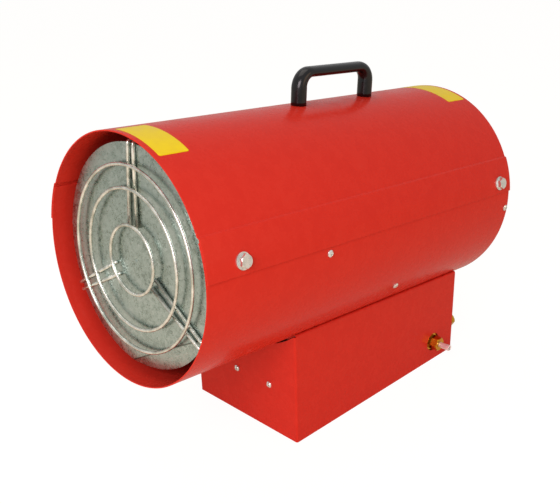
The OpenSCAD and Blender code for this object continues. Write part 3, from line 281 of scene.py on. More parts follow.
def tube_along(path: np.ndarray, radius: float, sides: int) -> tuple[np.ndarray, np.ndarray]:
    """A round section carried along a path, closed at both ends.

    The section's first normal is carried from point to point by taking out of it what lies along
    the tangent, and the ring at a point is path + r (cos a * normal + sin a * binormal).

    Args:
        path: points of the path.
        radius: radius of the section, in the path's unit.
        sides: number of points round the section.

    Returns:
        Points and triangles of the tube.
    """
    tangent = np.gradient(path, axis=0)
    tangent /= np.linalg.norm(tangent, axis=1, keepdims=True)
    normal = np.zeros_like(path)
    start = np.cross(tangent[0], OFF_AXIS)
    for i, along in enumerate(tangent):
        start = unit(start - along * float(np.dot(start, along)))
        normal[i] = start
    binormal = np.cross(tangent, normal)
    angle = (np.arange(sides) * TURN / sides)[None, :, None]
    ring = np.cos(angle) * normal[:, None, :] + np.sin(angle) * binormal[:, None, :]
    return closed_tube(path[:, None, :] + radius * ring, path[[0, -1]])


def rounded_path(corners: list[list[float]], radius: float, steps: int = 8) -> np.ndarray:
    """A path through corners that are each rounded by an arc.

    The arc's centre lies on the line that halves the corner, at radius / cos(turn / 2) from it.

    Args:
        corners: the corner points.
        radius: radius of the arcs, in the corners' unit.
        steps: number of steps in an arc.

    Returns:
        The points of the path.
    """
    knots = np.asarray(corners, float)
    out = [knots[:1]]
    for before, corner, after in zip(knots[:-2], knots[1:-1], knots[2:]):
        inward, outward = unit(corner - before), unit(after - corner)
        turn = math.acos(float(np.clip(np.dot(inward, outward), -1.0, 1.0)))
        begin = corner - inward * radius * math.tan(turn / 2.0)
        centre = corner + unit(outward - inward) * radius / math.cos(turn / 2.0)
        side = unit(begin - centre)
        t = np.linspace(0.0, turn, steps + 1)[:, None]
        out.append(centre + radius * (np.cos(t) * side + np.sin(t) * inward))
    out.append(knots[-1:])
    return np.vstack(out)


def recalculated(piece: Piece) -> None:
    """Merges a closed piece's doubles and points its faces outwards.

    Args:
        piece: the piece, before any modifier.
    """
    work = bmesh.new()
    work.from_mesh(piece.data)
    bmesh.ops.remove_doubles(work, verts=work.verts, dist=MERGE)
    bmesh.ops.recalc_face_normals(work, faces=work.faces)
    work.to_mesh(piece.data)
    work.free()


def break_edges(piece: Piece, width_mm: float) -> None:
    """Gives sharp edges a narrow bevel, with the highlight that a real edge has.

    Args:
        piece: the piece.
        width_mm: width of the bevel.
    """
    bevel = piece.modifiers.new("edges", "BEVEL")
    bevel.width = width_mm * MM
    bevel.segments = BREAK_STEPS
    bevel.limit_method = "ANGLE"
    bevel.angle_limit = math.radians(BREAK_DEG)
    bevel.use_clamp_overlap = True
    weighted = piece.modifiers.new("normals", "WEIGHTED_NORMAL")
    weighted.keep_sharp = True


def sheeted(piece: Piece, thickness_mm: float) -> None:
    """Gives a middle surface its thickness, half to each side.

    Args:
        piece: the piece, a grid in the middle of the sheet.
        thickness_mm: thickness of the sheet.
    """
    solid = piece.modifiers.new("sheet", "SOLIDIFY")
    solid.thickness = thickness_mm * MM
    solid.offset = 0.0


class Grain(Enum):
    """Sizes of the patterns, as what each one draws in millimetres."""

    ORANGE_PEEL = 2.2
    SHEET_WAVE = 70.0
    DUST = 18.0
    SPANGLE = 3.8
    SPANGLE_FINE = 1.3
    CLOUD = 32.0
    SMEAR = 11.0
    # The real moulded texture and turning marks are about 0.1 mm, too fine to show: drawn coarser
    MOULD = 0.9
    TURNING = 0.7

    @property
    def scale(self) -> float:
        """Scale of a texture whose features have this size."""
        return 1.0 / (self.value * MM)

    def noise(self, detail: float, roughness: float = 0.5) -> dict[str, float]:
        """Settings of a noise texture whose features have this size."""
        return {"Scale": self.scale, "Detail": detail, "Roughness": roughness}


@dataclass(frozen=True)
class Finish:
    """A finish: its name, colours and the values of its shader."""

    name: str
    colour: str
    shade: str
    roughness: float = 0.3
    metallic: float = 0.0
    ior: float = 1.5
    specular: float = 0.5
    coat: float = 0.0
    coat_roughness: float = 0.05
    grain: Grain = Grain.SMEAR
    bump_mm: float = 0.02
    bump_strength: float = 1.0
    stretch: tuple[float, float, float] = (1.0, 1.0, 1.0)
    stops: tuple[float, ...] = (0.35, 0.65)
    rough_swing: float = 0.08
    least_rough: float = 0.02
    swing_from: float = 0.25
    swing_to: float = 0.75

    @property
    def tints(self) -> tuple[str, ...]:
        """Colours at the stops, from the pattern's low end to its high end."""
        return (self.shade, self.colour)

    def build(self) -> Material:
        """Builds the material: a shader with the finish's own patterns on it.

        Returns:
            The material.
        """
        material = bpy.data.materials.new(self.name)
        material.use_nodes = True
        material.node_tree.nodes.clear()
        place = add_node(material, "ShaderNodeTexCoord").outputs["Object"]
        shader = add_node(
            material,
            "ShaderNodeBsdfPrincipled",
            {
                "Metallic": self.metallic,
                "IOR": self.ior,
                "Specular IOR Level": self.specular,
                "Coat Weight": self.coat,
                "Coat Roughness": self.coat_roughness,
            },
        )
        self.dress(material, place, shader)
        add_node(material, "ShaderNodeOutputMaterial", links={"Surface": shader.outputs["BSDF"]})
        return material

    def colour_by(self, material: Material, shader: Node, pattern: Socket) -> None:
        """Lets a pattern mix the finish's colours and swing its roughness each way.

        Args:
            material: the material.
            shader: the shader to colour.
            pattern: output of the pattern, about one half on the whole.
        """
        stops = tuple(zip(self.stops, self.tints))
        tint = add_node(material, "ShaderNodeValToRGB", links={"Fac": pattern}, stops=stops)
        swing = add_node(
            material,
            "ShaderNodeMapRange",
            {
                "From Min": self.swing_from,
                "From Max": self.swing_to,
                "To Min": max(self.roughness - self.rough_swing, self.least_rough),
                "To Max": self.roughness + self.rough_swing,
            },
            {"Value": pattern},
        )
        material.node_tree.links.new(tint.outputs["Color"], shader.inputs["Base Color"])
        material.node_tree.links.new(swing.outputs["Result"], shader.inputs["Roughness"])

    def dress(self, material: Material, place: Socket, shader: Node) -> None:
        """Adds smears that colour the finish, and a grain that bumps it.

        Args:
            material: the material.
            place: the object coordinates.
            shader: the shader to dress.
        """
        spread = add_node(
            material, "ShaderNodeMapping", {"Scale": self.stretch}, {"Vector": place}
        )
        grain = add_node(
            material,
            "ShaderNodeTexNoise",
            self.grain.noise(detail=4.0, roughness=0.6),
            {"Vector": spread.outputs["Vector"]},
        )
        smear = add_node(
            material,
            "ShaderNodeTexNoise",
            Grain.SMEAR.noise(detail=5.0, roughness=0.55),
            {"Vector": place},
        )
        self.colour_by(material, shader, smear.outputs["Fac"])
        bump = add_node(
            material,
            "ShaderNodeBump",
            {"Strength": self.bump_strength, "Distance": self.bump_mm * MM},
            {"Height": grain.outputs["Fac"]},
        )
        material.node_tree.links.new(bump.outputs["Normal"], shader.inputs["Normal"])


@dataclass(frozen=True)
class PowderEnamel(Finish):
    """Gloss powder enamel on sheet steel: orange peel, a slight wave of the sheet, and dust."""

    stops: tuple[float, ...] = (0.25, 0.6, 0.95)
    dust: str = "#cf3a2d"
    wave_mm: float = 0.2
    wave_strength: float = 0.5

    @property
    def tints(self) -> tuple[str, ...]:
        """Colours at the stops: thin enamel, full enamel and dust."""
        return (self.shade, self.colour, self.dust)

    def dress(self, material: Material, place: Socket, shader: Node) -> None:
        """Adds orange peel, the sheet's wave, and patches of dust that dull the gloss.

        Args:
            material: the material.
            place: the object coordinates.
            shader: the shader to dress.
        """
        peel, wave, dust = (
            add_node(material, "ShaderNodeTexNoise", settings, {"Vector": place}).outputs["Fac"]
            for settings in (
                Grain.ORANGE_PEEL.noise(detail=2.0),
                Grain.SHEET_WAVE.noise(detail=1.0),
                Grain.DUST.noise(detail=6.0, roughness=0.7),
            )
        )
        self.colour_by(material, shader, dust)
        waved = add_node(
            material,
            "ShaderNodeBump",
            {"Strength": self.wave_strength, "Distance": self.wave_mm * MM},
            {"Height": wave},
        )
        peeled = add_node(
            material,
            "ShaderNodeBump",
            {"Strength": self.bump_strength, "Distance": self.bump_mm * MM},
            {"Height": peel, "Normal": waved.outputs["Normal"]},
        )
        for name in ("Normal", "Coat Normal"):
            material.node_tree.links.new(peeled.outputs["Normal"], shader.inputs[name])


@dataclass(frozen=True)
class GalvanisedSheet(Finish):
    """Hot-dip galvanised sheet: zinc crystals that each catch the light differently, and clouds."""

    stops: tuple[float, ...] = (0.3, 0.5, 0.72)
    bright: str = "#bcc9c6"
    bump_strength: float = 0.6
    wobble_mm: float = 4.0
    fine_share: float = 0.5
    cloud_share: float = 0.45

    @property
    def tints(self) -> tuple[str, ...]:
        """Colours at the stops: dull, plain and bright crystals."""
        return (self.shade, self.colour, self.bright)

    def dress(self, material: Material, place: Socket, shader: Node) -> None:
        """Adds two sizes of zinc crystal, with crooked edges, and a cloudy film.

        Args:
            material: the material.
            place: the object coordinates.
            shader: the shader to dress.
        """
        wobble = add_node(
            material, "ShaderNodeTexNoise", Grain.SPANGLE.noise(detail=3.0), {"Vector": place}
        )
        crooked = add_node(
            material,
            "ShaderNodeVectorMath",
            {"operation": "MULTIPLY_ADD", 1: (self.wobble_mm * MM,) * 3},
            {0: wobble.outputs["Color"], 2: place},
        ).outputs["Vector"]
        cells, fine = (
            add_node(material, "ShaderNodeTexVoronoi", {"Scale": grain.scale}, {"Vector": crooked})
            for grain in (Grain.SPANGLE, Grain.SPANGLE_FINE)
        )
        cloud = add_node(
            material, "ShaderNodeTexNoise", Grain.CLOUD.noise(detail=4.0), {"Vector": place}
        )
        both = add_node(
            material,
            "ShaderNodeMix",
            {"Factor": self.fine_share},
            {"A": cells.outputs["Color"], "B": fine.outputs["Color"]},
        )
        value = add_node(
            material,
            "ShaderNodeMix",
            {"Factor": self.cloud_share},
            {"A": both.outputs["Result"], "B": cloud.outputs["Fac"]},
        ).outputs["Result"]
        self.colour_by(material, shader, value)
        bump = add_node(
            material,
            "ShaderNodeBump",
            {"Strength": self.bump_strength, "Distance": self.bump_mm * MM},
            {"Height": value},
        )
        material.node_tree.links.new(bump.outputs["Normal"], shader.inputs["Normal"])


@dataclass(frozen=True)
class BentSheet(GalvanisedSheet):
    """Galvanised sheet with one sharp bend, with painted shade in a dark line along the crease.

    The bend is a straight line in the casing's frame. The angle and length of the shortest way to
    it from the axis are given, and its distance back.
    """

    bend_angle: float = -60.7
    bend_reach: float = 99.5
    bend_back: float = 18.0
    bend_width_mm: float = 2.2
    # Colour of the painted shade along the crease of the bend
    crease_shade: str = "#4b524a"

    def dress(self, material: Material, place: Socket, shader: Node) -> None:
        """Adds painted shade: a dark line along the bend, over the zinc's pattern.

        Args:
            material: the material.
            place: the object coordinates.
            shader: the shader to dress.
        """
        super().dress(material, place, shader)
        on_bend = CASING.around(self.bend_reach, self.bend_angle, self.bend_back)
        across = unit(on_bend - CASING.place(0.0, self.bend_back, 0.0))
        reach = add_node(
            material,
            "ShaderNodeVectorMath",
            {"operation": "DOT_PRODUCT", 1: tuple(float(value) for value in across)},
            {0: place},
        )
        gap = add_node(
            material,
            "ShaderNodeMath",
            {"operation": "SUBTRACT", 1: float(across @ on_bend)},
            {0: reach.outputs["Value"]},
        )
        near = add_node(
            material, "ShaderNodeMath", {"operation": "ABSOLUTE"}, {0: gap.outputs["Value"]}
        )
        # Mask of the painted shade: one on the bend, fading to none at half the given width from it
        line = add_node(
            material,
            "ShaderNodeMapRange",
            {
                "From Min": 0.0,
                "From Max": self.bend_width_mm / 2.0 * MM,
                "To Min": 1.0,
                "To Max": 0.0,
            },
            {"Value": near.outputs["Value"]},
        )
        # The painted crease shade is mixed over the zinc's own colour
        plain = shader.inputs["Base Color"].links[0].from_socket
        mixed = add_node(
            material,
            "ShaderNodeMixRGB",
            {"Color2": linear(self.crease_shade)},
            {"Fac": line.outputs["Result"], "Color1": plain},
        )
        material.node_tree.links.new(mixed.outputs["Color"], shader.inputs["Base Color"])


class Finishes:
    """The heater's finishes, each built once."""

    SPECS: tuple[Finish, ...] = (
        # Red powder enamel: deep red body, glossy with a slight orange peel
        PowderEnamel(
            "red_enamel", "#d23326", "#cd2e22", 0.27, specular=0.05, coat=0.04, bump_mm=0.008
        ),
        # Galvanised steel: grey with a green cast, softly mirrored crystals
        GalvanisedSheet("galvanised_steel", "#a8b9b4", "#889792", 0.3, metallic=1.0),
        # The same steel in the flame disc, with painted shade along the bend near its lower edge
        BentSheet("bent_galvanised", "#a8b9b4", "#889792", 0.3, metallic=1.0),
        # Zinc plated fasteners: bright, faintly warm white metal
        Finish("zinc_plate", "#f0f0ec", "#d2d3cd", 0.22, 0.85, grain=Grain.TURNING),
        # Drawn wire with a bright zinc coat: small lumps along it
        Finish(
            "bright_wire", "#eef0e6", "#b6baad", 0.26, 0.9, grain=Grain.SPANGLE_FINE, bump_mm=0.1
        ),
        # Moulded ABS: near black, glossy, faint texture
        Finish(
            "black_abs", "#0e0e0f", "#0a0a0b", 0.22, specular=0.4, grain=Grain.MOULD, bump_mm=0.01
        ),
        # Moulded polyamide: dark grey, matt
        Finish("grey_nylon", "#232426", "#1a1b1d", 0.5, grain=Grain.MOULD, bump_mm=0.03),
        # Free-cutting brass, turned: yellow, with fine turning marks
        Finish("turned_brass", "#d9a62e", "#b5821c", 0.24, 1.0, grain=Grain.TURNING, bump_mm=0.03),
        # Turned bright steel with a nickel flash: slightly pink white
        Finish("bright_steel", "#f8eeeb", "#e6dad6", 0.24, 0.5, grain=Grain.TURNING),
        # Drawn copper pipe, lightly dulled
        Finish("drawn_copper", "#b9663f", "#8e4a2e", 0.32, 1.0),
        # Pressed aluminium sheet: pale, brushed by the rolls
        Finish("rolled_aluminium", "#b9bcbd", "#9a9d9f", 0.34, 1.0, stretch=(1.0, 0.1, 1.0)),
        # Motor enamel: dark grey, half gloss
        Finish("motor_enamel", "#3a3d40", "#2c2f31", 0.42),
        # Dipped steel wire: black, half gloss
        Finish("black_dip", "#141414", "#0c0c0c", 0.38, bump_mm=0.05),
        # Glazed steatite: off white, glassy
        Finish("glazed_steatite", "#e6e0d2", "#d8d0c0", 0.16, coat=0.4),
        # Silicone rubber lead: black, soft
        Finish("silicone_lead", "#1b1b1b", "#121212", 0.6),
        # Moulded polycarbonate rocker: green, glossy
        Finish("green_rocker", "#12803a", "#0c6a2e", 0.18, coat=0.4),
        # Melamine terminal block: off white, matt
        Finish("terminal_melamine", "#d9d5c6", "#c8c3b2", 0.45),
        # Yellow vinyl film: flat satin colour, slightly wrinkled
        Finish("yellow_vinyl", "#edd30e", "#e9cc0a", 0.4, specular=0.2, bump_mm=0.06),
    )

    def __init__(self) -> None:
        """Builds every finish."""
        self.made = {spec.name: spec.build() for spec in self.SPECS}

    def __getitem__(self, name: str) -> Material:
        """The material of that name."""
        return self.made[name]


@dataclass
class CasingShells:
    """The two halves of the casing: the upper one laps over the lower one with a joggled band.

    Angles are in degrees from +X, and the steps are the numbers of points in each span of a grid.
    """

    finishes: Finishes
    seam_angle: float = 6.5
    band_angle: float = 24.8
    lap_gap: float = 0.4
    joggle_mm: float = 3.0
    lap_end_mm: float = 3.0
    edge_mm: float = 0.35
    window_half_x: float = 45.0
    window_s: tuple[float, float] = (257.8, 353.8)
    upper_steps: tuple[int, ...] = (10, 11, 84, 11, 10)
    upper_rows: int = 30
    lower_steps: tuple[int, ...] = (62, 22, 62)
    lower_rows: tuple[int, ...] = (16, 6, 10)

    def arc(self, length: float) -> float:
        """Angle in degrees of an arc of that length on the casing."""
        return math.degrees(length / CASING.radius)

    def upper_radius(self, angle: np.ndarray) -> np.ndarray:
        """Radius of the upper sheet's middle: it rises by a smooth step into the band.

        The step is t t (3 - 2 t), with t from zero at the joggle's upper end to one at the band.

        Args:
            angle: angles in degrees from +X.

        Returns:
            The radius at each angle, in millimetres.
        """
        folded = np.minimum(angle, 180.0 - angle)
        run = self.arc(self.joggle_mm)
        t = np.clip((self.band_angle + run - folded) / run, 0.0, 1.0)
        rise = CASING.sheet + self.lap_gap
        return CASING.middle_radius + rise * t * t * (3.0 - 2.0 * t)

    def shell(
        self,
        name: str,
        angle: np.ndarray,
        back: np.ndarray,
        radius: Number,
        keep: np.ndarray | slice = slice(None),
    ) -> Piece:
        """Builds one half: a grid over angle and distance back, given its thickness.

        Args:
            name: the piece's name.
            angle: the grid's angles.
            back: its distances back.
            radius: radius of the sheet's middle, one value or a column with one for each angle.
            keep: which of the grid's quads are there, all of them if left out.

        Returns:
            The piece.
        """
        grid_a, grid_s = np.meshgrid(angle, back, indexing="ij")
        points = CASING.around(radius, grid_a, grid_s)
        faces = grid_faces(len(angle), len(back))[:, ::-1]
        piece = make_piece(name, points, faces[keep], self.finishes["red_enamel"])
        sheeted(piece, CASING.sheet)
        break_edges(piece, self.edge_mm)
        return piece

    def upper(self) -> Piece:
        """Builds the upper half.

        Returns:
            The piece.
        """
        side = [self.seam_angle, self.band_angle, self.band_angle + self.arc(self.joggle_mm)]
        angle = spans(side + [180.0 - mark for mark in side[::-1]], self.upper_steps)
        back = np.linspace(0.0, CASING.length, self.upper_rows)
        return self.shell("upper_shell_sheet", angle, back, self.upper_radius(angle)[:, None])

    def lower(self) -> Piece:
        """Builds the lower half, with the window over the base left out of its grid.

        Returns:
            The piece.
        """
        top = self.band_angle - self.arc(self.lap_end_mm)
        edge = math.degrees(math.asin(self.window_half_x / CASING.middle_radius))
        angle = spans([-180.0 - top, -90.0 - edge, -90.0 + edge, top], self.lower_steps)
        back = spans([0.0, *self.window_s, CASING.length], self.lower_rows)
        middle_a = (angle[:-1] + angle[1:])[:, None] / 2.0
        middle_s = (back[:-1] + back[1:])[None, :] / 2.0
        low_s, high_s = self.window_s
        inside = (np.abs(middle_a + 90.0) < edge) & (middle_s > low_s) & (middle_s < high_s)
        keep = ~inside.reshape(-1)
        return self.shell("lower_shell_sheet", angle, back, CASING.middle_radius, keep)

    def build(self) -> None:
        """Builds both halves and puts them in their nodes' places."""
        for piece, node in ((self.upper(), "upper_shell"), (self.lower(), "lower_shell")):
            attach(piece, "casing")
            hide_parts(node)
            LOG.info("made %s", piece.name)


@dataclass
class BlankFilms:
    """Two plain yellow films on the crest, one near each end.

    Each place is the film's name, its front and back edge, and the angles of its two sides.
    """

    finishes: Finishes
    proud: float = 0.12
    thickness: float = 0.1
    corner: float = 2.2
    corner_steps: int = 6
    rows: int = 12
    columns: int = 36
    places: tuple[tuple[str, float, float, float, float], ...] = (
        ("front_film", 6.0, 42.0, 63.6, 95.0),
        ("rear_film", 482.0, 518.0, 66.8, 102.0),
    )

    def build(self) -> None:
        """Builds each film as a grid with rounded corners, just proud of the enamel.

        The grid's rows run from edge to edge, and a row's ends draw in near the film's first and
        last row by the corner's radius less the height of a circle there.
        """
        quarter = np.linspace(0.0, math.pi / 2.0, self.corner_steps)
        ease = self.corner * (1.0 - np.cos(quarter))
        share = np.linspace(0.0, 1.0, self.columns)
        for name, s0, s1, a0, a1 in self.places:
            straight = np.linspace(s0 + self.corner, s1 - self.corner, self.rows)
            back = np.unique(np.concatenate([s0 + ease, straight, s1 - ease]))
            near = np.clip(np.minimum(back - s0, s1 - back), 0.0, self.corner)
            height = np.sqrt(np.maximum(self.corner**2 - (self.corner - near) ** 2, 0.0))
            inset = np.degrees((self.corner - height) / CASING.radius)
            grid_a = (a0 + inset)[:, None] + share[None, :] * (a1 - a0 - 2.0 * inset)[:, None]
            points = CASING.around(CASING.radius + self.proud, grid_a, back[:, None])
            faces = grid_faces(len(back), len(share))
            piece = make_piece(name, points, faces, self.finishes["yellow_vinyl"])
            sheeted(piece, self.thickness)
            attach(piece, "casing")
            LOG.info("made %s", name)


@dataclass
class OutletGuard:
    """Three wire rings welded on three hairpin spokes that hook behind the flame disc.

    The shares are parts of the disc's radius, and a hairpin's gaps are between its two wires.
    """

    finishes: Finishes
    disc_r: float = 121.4
    disc_recess: float = 18.0
    wire_d: float = 3.8
    wire_sides: int = 14
    ring_shares: tuple[float, ...] = (0.307, 0.623, 0.823)
    ring_step_deg: float = 3.0
    spoke_angles: tuple[float, ...] = (90.0, 210.0, 330.0)
    inner_share: float = 0.29
    inner_gap: float = 13.0
    outer_gap: float = 8.6
    gap: float = 0.3
    hook_l: float = 15.0
    bend_r: float = 3.4

    @property
    def spoke_s(self) -> float:
        """Distance back of the spokes' middle line."""
        return self.disc_recess - self.gap - self.wire_d / 2.0

    def wires(self, name: str, points: list[np.ndarray], faces: list[np.ndarray]) -> Piece:
        """Joins closed wires into one piece.

        Args:
            name: the piece's name.
            points: points of each wire, one row each.
            faces: faces of each wire, counted from its own first point.

        Returns:
            The piece.
        """
        first = np.cumsum([0] + [len(wire) for wire in points[:-1]])
        joined = np.vstack([own + start for own, start in zip(faces, first)])
        piece = make_piece(name, np.vstack(points), joined, self.finishes["bright_wire"])
        recalculated(piece)
        return piece

    def rings(self) -> Piece:
        """Builds the rings: each is a closed wire, a circle carried round a circle.

        Returns:
            The piece.
        """
        around = np.radians(np.arange(0.0, 360.0, self.ring_step_deg))[:, None]
        section = (np.arange(self.wire_sides) * TURN / self.wire_sides)[None, :]
        back = self.spoke_s - self.wire_d + self.wire_d / 2.0 * np.sin(section)
        points, faces = [], []
        for share in self.ring_shares:
            radius = self.disc_r * share + self.wire_d / 2.0 * np.cos(section)
            ring = CASING.place(radius * np.cos(around), back, radius * np.sin(around))
            ring = ring.reshape(-1, 3)
            points.append(ring)
            faces.append(grid_faces(len(around) + 1, self.wire_sides, wrap=True) % len(ring))
        return self.wires("guard_ring_wires", points, faces)

    def spokes(self) -> Piece:
        """Builds the spokes: each is one wire bent like a hairpin, its bend behind the disc.

        Returns:
            The piece.
        """
        inner_r = self.disc_r * self.inner_share
        tip_r = self.disc_r + self.gap + self.wire_d / 2.0
        back = self.spoke_s + self.hook_l
        inner, outer = self.inner_gap / 2.0, self.outer_gap / 2.0
        half = [[inner_r, self.spoke_s, inner], [tip_r, self.spoke_s, outer], [tip_r, back, outer]]
        corners = half + [[reach, s, -aside] for reach, s, aside in half[::-1]]
        out, along, aside = rounded_path(corners, self.bend_r).T
        points, faces = [], []
        for angle in self.spoke_angles:
            cos, sin = math.cos(math.radians(angle)), math.sin(math.radians(angle))
            path = CASING.place(out * cos - aside * sin, along, out * sin + aside * cos)
            wire, triangles = tube_along(path, self.wire_d / 2.0 * MM, self.wire_sides)
            points.append(wire)
            faces.append(triangles)
        return self.wires("guard_spoke_wires", points, faces)

    def build(self) -> None:
        """Builds the guard in its nodes' places."""
        for piece, node in ((self.rings(), "guard_rings"), (self.spokes(), "guard_spokes")):
            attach(piece, "casing")
            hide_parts(node)
            LOG.info("made %s", piece.name)


@dataclass
class CarryingHandle:
    """The moulded bow: deep round-cornered legs that run into a flatter bar."""

    finishes: Finishes
    length: float = 136.0
    height: float = 43.2
    leg_w: float = 17.4
    bar_t: float = 12.2
    depth: float = 18.4
    back: float = 312.2
    corner_r: float = 17.0
    squareness: float = 0.92
    seat: float = 0.2
    leg_steps: int = 6
    corner_steps: int = 17
    bar_steps: int = 8
    sides: int = 40

    def stations(self) -> np.ndarray:
        """Stations of the bow: one half from its foot to the middle of the bar, then its mirror.

        Returns:
            Place along, height, direction in degrees and half thickness of each, one row each.
        """
        leg = self.length / 2.0 - self.leg_w / 2.0
        bar_z = self.height - self.bar_t / 2.0
        up = np.linspace(self.seat, bar_z - self.corner_r, self.leg_steps)[:-1]
        t = np.linspace(0.0, 1.0, self.corner_steps)
        bend = np.radians(90.0 * t)
        along = np.linspace(-leg + self.corner_r, 0.0, self.bar_steps)[1:]
        stretches = (
            (-leg, up, 90.0, self.leg_w / 2.0),
            (
                -leg + self.corner_r * (1.0 - np.cos(bend)),
                bar_z - self.corner_r * (1.0 - np.sin(bend)),
                90.0 * (1.0 - t),
                self.leg_w / 2.0 + (self.bar_t - self.leg_w) / 2.0 * t,
            ),
            (along, bar_z, 0.0, self.bar_t / 2.0),
        )
        half = np.vstack([np.stack(np.broadcast_arrays(*row), axis=1) for row in stretches])
        mirrored = half[:-1][::-1] * np.array([-1.0, 1.0, -1.0, 1.0])
        return np.vstack([half, mirrored])

    def build(self) -> None:
        """Builds the bow: a superellipse section carried through the stations.

        Across is half the depth * |sin a| ^ squareness, up is half the thickness * |cos a| ^
        squareness, each with the sign of its sine or cosine.
        """
        along, height, direction, half_t = self.stations().T[:, :, None]
        a = (np.arange(self.sides) * TURN / self.sides)[None, :]
        wide = np.sign(np.sin(a)) * np.abs(np.sin(a)) ** self.squareness
        up = half_t * np.sign(np.cos(a)) * np.abs(np.cos(a)) ** self.squareness
        turn = np.radians(direction)
        s = self.back + along
        z = CASING.radius + height
        rings = CASING.place(self.depth / 2.0 * wide, s - up * np.sin(turn), z + up * np.cos(turn))
        ends = CASING.place(0.0, s[[0, -1], 0], z[[0, -1], 0])
        points, faces = closed_tube(rings, ends)
        piece = make_piece("handle_moulding", points, faces, self.finishes["black_abs"])
        recalculated(piece)
        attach(piece, "casing")
        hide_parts("handle")
        LOG.info("made %s", piece.name)


@dataclass(frozen=True)
class Batch:
    """CAD nodes with the same slot, finish, width of broken edges and limit of smooth shading."""

    slot: str
    finish: str
    edge_mm: float
    nodes: tuple[str, ...]
    smooth_deg: float = SMOOTH_DEG


@dataclass
class CarriedNodes:
    """Every other CAD node, each dressed as its batch says."""

    finishes: Finishes
    batches: tuple[Batch, ...] = (
        Batch(
            "zinc_hardware",
            "zinc_plate",
            0.25,
            (
                "casing_bolts",
                "casing_nuts",
                "shell_screws",
                "handle_screws",
                "panel_screws",
                "saddle_screws",
                "bracket_screws",
                "motor_screws",
                "igniter_nut",
            ),
        ),
        Batch(
            "galvanised",
            "galvanised_steel",
            0.2,
            (
                "disc_stays",
                "flame_tube_brackets",
                "base_plate",
                "side_channel",
                "terminal_bracket",
                "burner_cup",
                "burner_bracket",
                "motor_bracket",
            ),
        ),
        Batch("heat_steel", "bent_galvanised", 0.2, ("flame_disc",), BEND_SMOOTH_DEG),
        Batch("heat_steel", "galvanised_steel", 0.2, ("flame_tube",)),
        Batch("red_paint", "red_enamel", 0.25, ("base_wrap", "control_panel")),
        Batch(
            "brass",
            "turned_brass",
            0.25,
            ("gas_nozzle", "gas_valve", "valve_nut", "valve_plunger", "inlet_nut"),
        ),
        Batch("bright_steel", "bright_steel", 0.3, ("inlet_spigot", "motor_shaft")),
        Batch("copper", "drawn_copper", 0.0, ("gas_pipe", "thermocouple"), WIRE_SMOOTH_DEG),
        Batch("ceramic", "glazed_steatite", 0.0, ("spark_electrode",), WIRE_SMOOTH_DEG),
        Batch("lead_black", "silicone_lead", 0.0, ("ignition_lead",), WIRE_SMOOTH_DEG),
        Batch(
            "dark_plastic",
            "grey_nylon",
            0.3,
            ("igniter_body", "switch_housing", "cable_gland", "gland_nut", "overheat_cutout"),
        ),
        Batch("black_plastic", "black_abs", 0.4, ("igniter_button",)),
        Batch("green_plastic", "green_rocker", 0.3, ("switch_rocker",)),
        Batch("terminal_white", "terminal_melamine", 0.3, ("terminal_block",)),
        Batch("aluminium", "rolled_aluminium", 0.2, ("fan",)),
        Batch("motor_grey", "motor_enamel", 0.4, ("motor",)),
        Batch("black_wire", "black_dip", 0.0, ("rear_grille",), WIRE_SMOOTH_DEG),
    )

    def refined(self, node: str, source: Piece, batch: Batch) -> Piece:
        """Makes a merged copy of a CAD node, with broken edges and smooth curved faces.

        Coplanar triangles are dissolved, and edges sharper than the batch's limit are marked.

        Args:
            node: the node's name.
            source: the CAD's own object, which stays as it is.
            batch: how the node is dressed.

        Returns:
            The copy, linked to the scene.
        """
        mesh = bpy.data.meshes.new(node + "_look")
        work = bmesh.new()
        work.from_mesh(source.data)
        bmesh.ops.remove_doubles(work, verts=work.verts, dist=NODE_MERGE)
        flat = math.radians(FLAT_DEG)
        bmesh.ops.dissolve_limit(work, angle_limit=flat, verts=work.verts, edges=work.edges)
        limit = math.radians(batch.smooth_deg)
        for edge in work.edges:
            edge.smooth = len(edge.link_faces) == 2 and edge.calc_face_angle(0.0) < limit
        for face in work.faces:
            face.smooth = True
        work.to_mesh(mesh)
        work.free()
        mesh.materials.clear()
        mesh.materials.append(self.finishes[batch.finish])
        piece = bpy.data.objects.new(node + "_look", mesh)
        bpy.context.scene.collection.objects.link(piece)
        if batch.edge_mm > 0.0:
            break_edges(piece, batch.edge_mm)
        return piece

    def build(self, frame: dict[str, Any]) -> None:
        """Puts a refined copy in the place of each node, on the node's own body.

        Args:
            frame: the loaded frame.
        """
        bodies = frame["record"]["behaviour"]["bodies"]
        owner = {node: body for body, nodes in bodies.items() for node in nodes}
        for batch in self.batches:
            for node in batch.nodes:
                piece = self.refined(node, frame["nodes"][node], batch)
                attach(piece, owner[node])
                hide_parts(node)
                LOG.info("dressed %s", node)


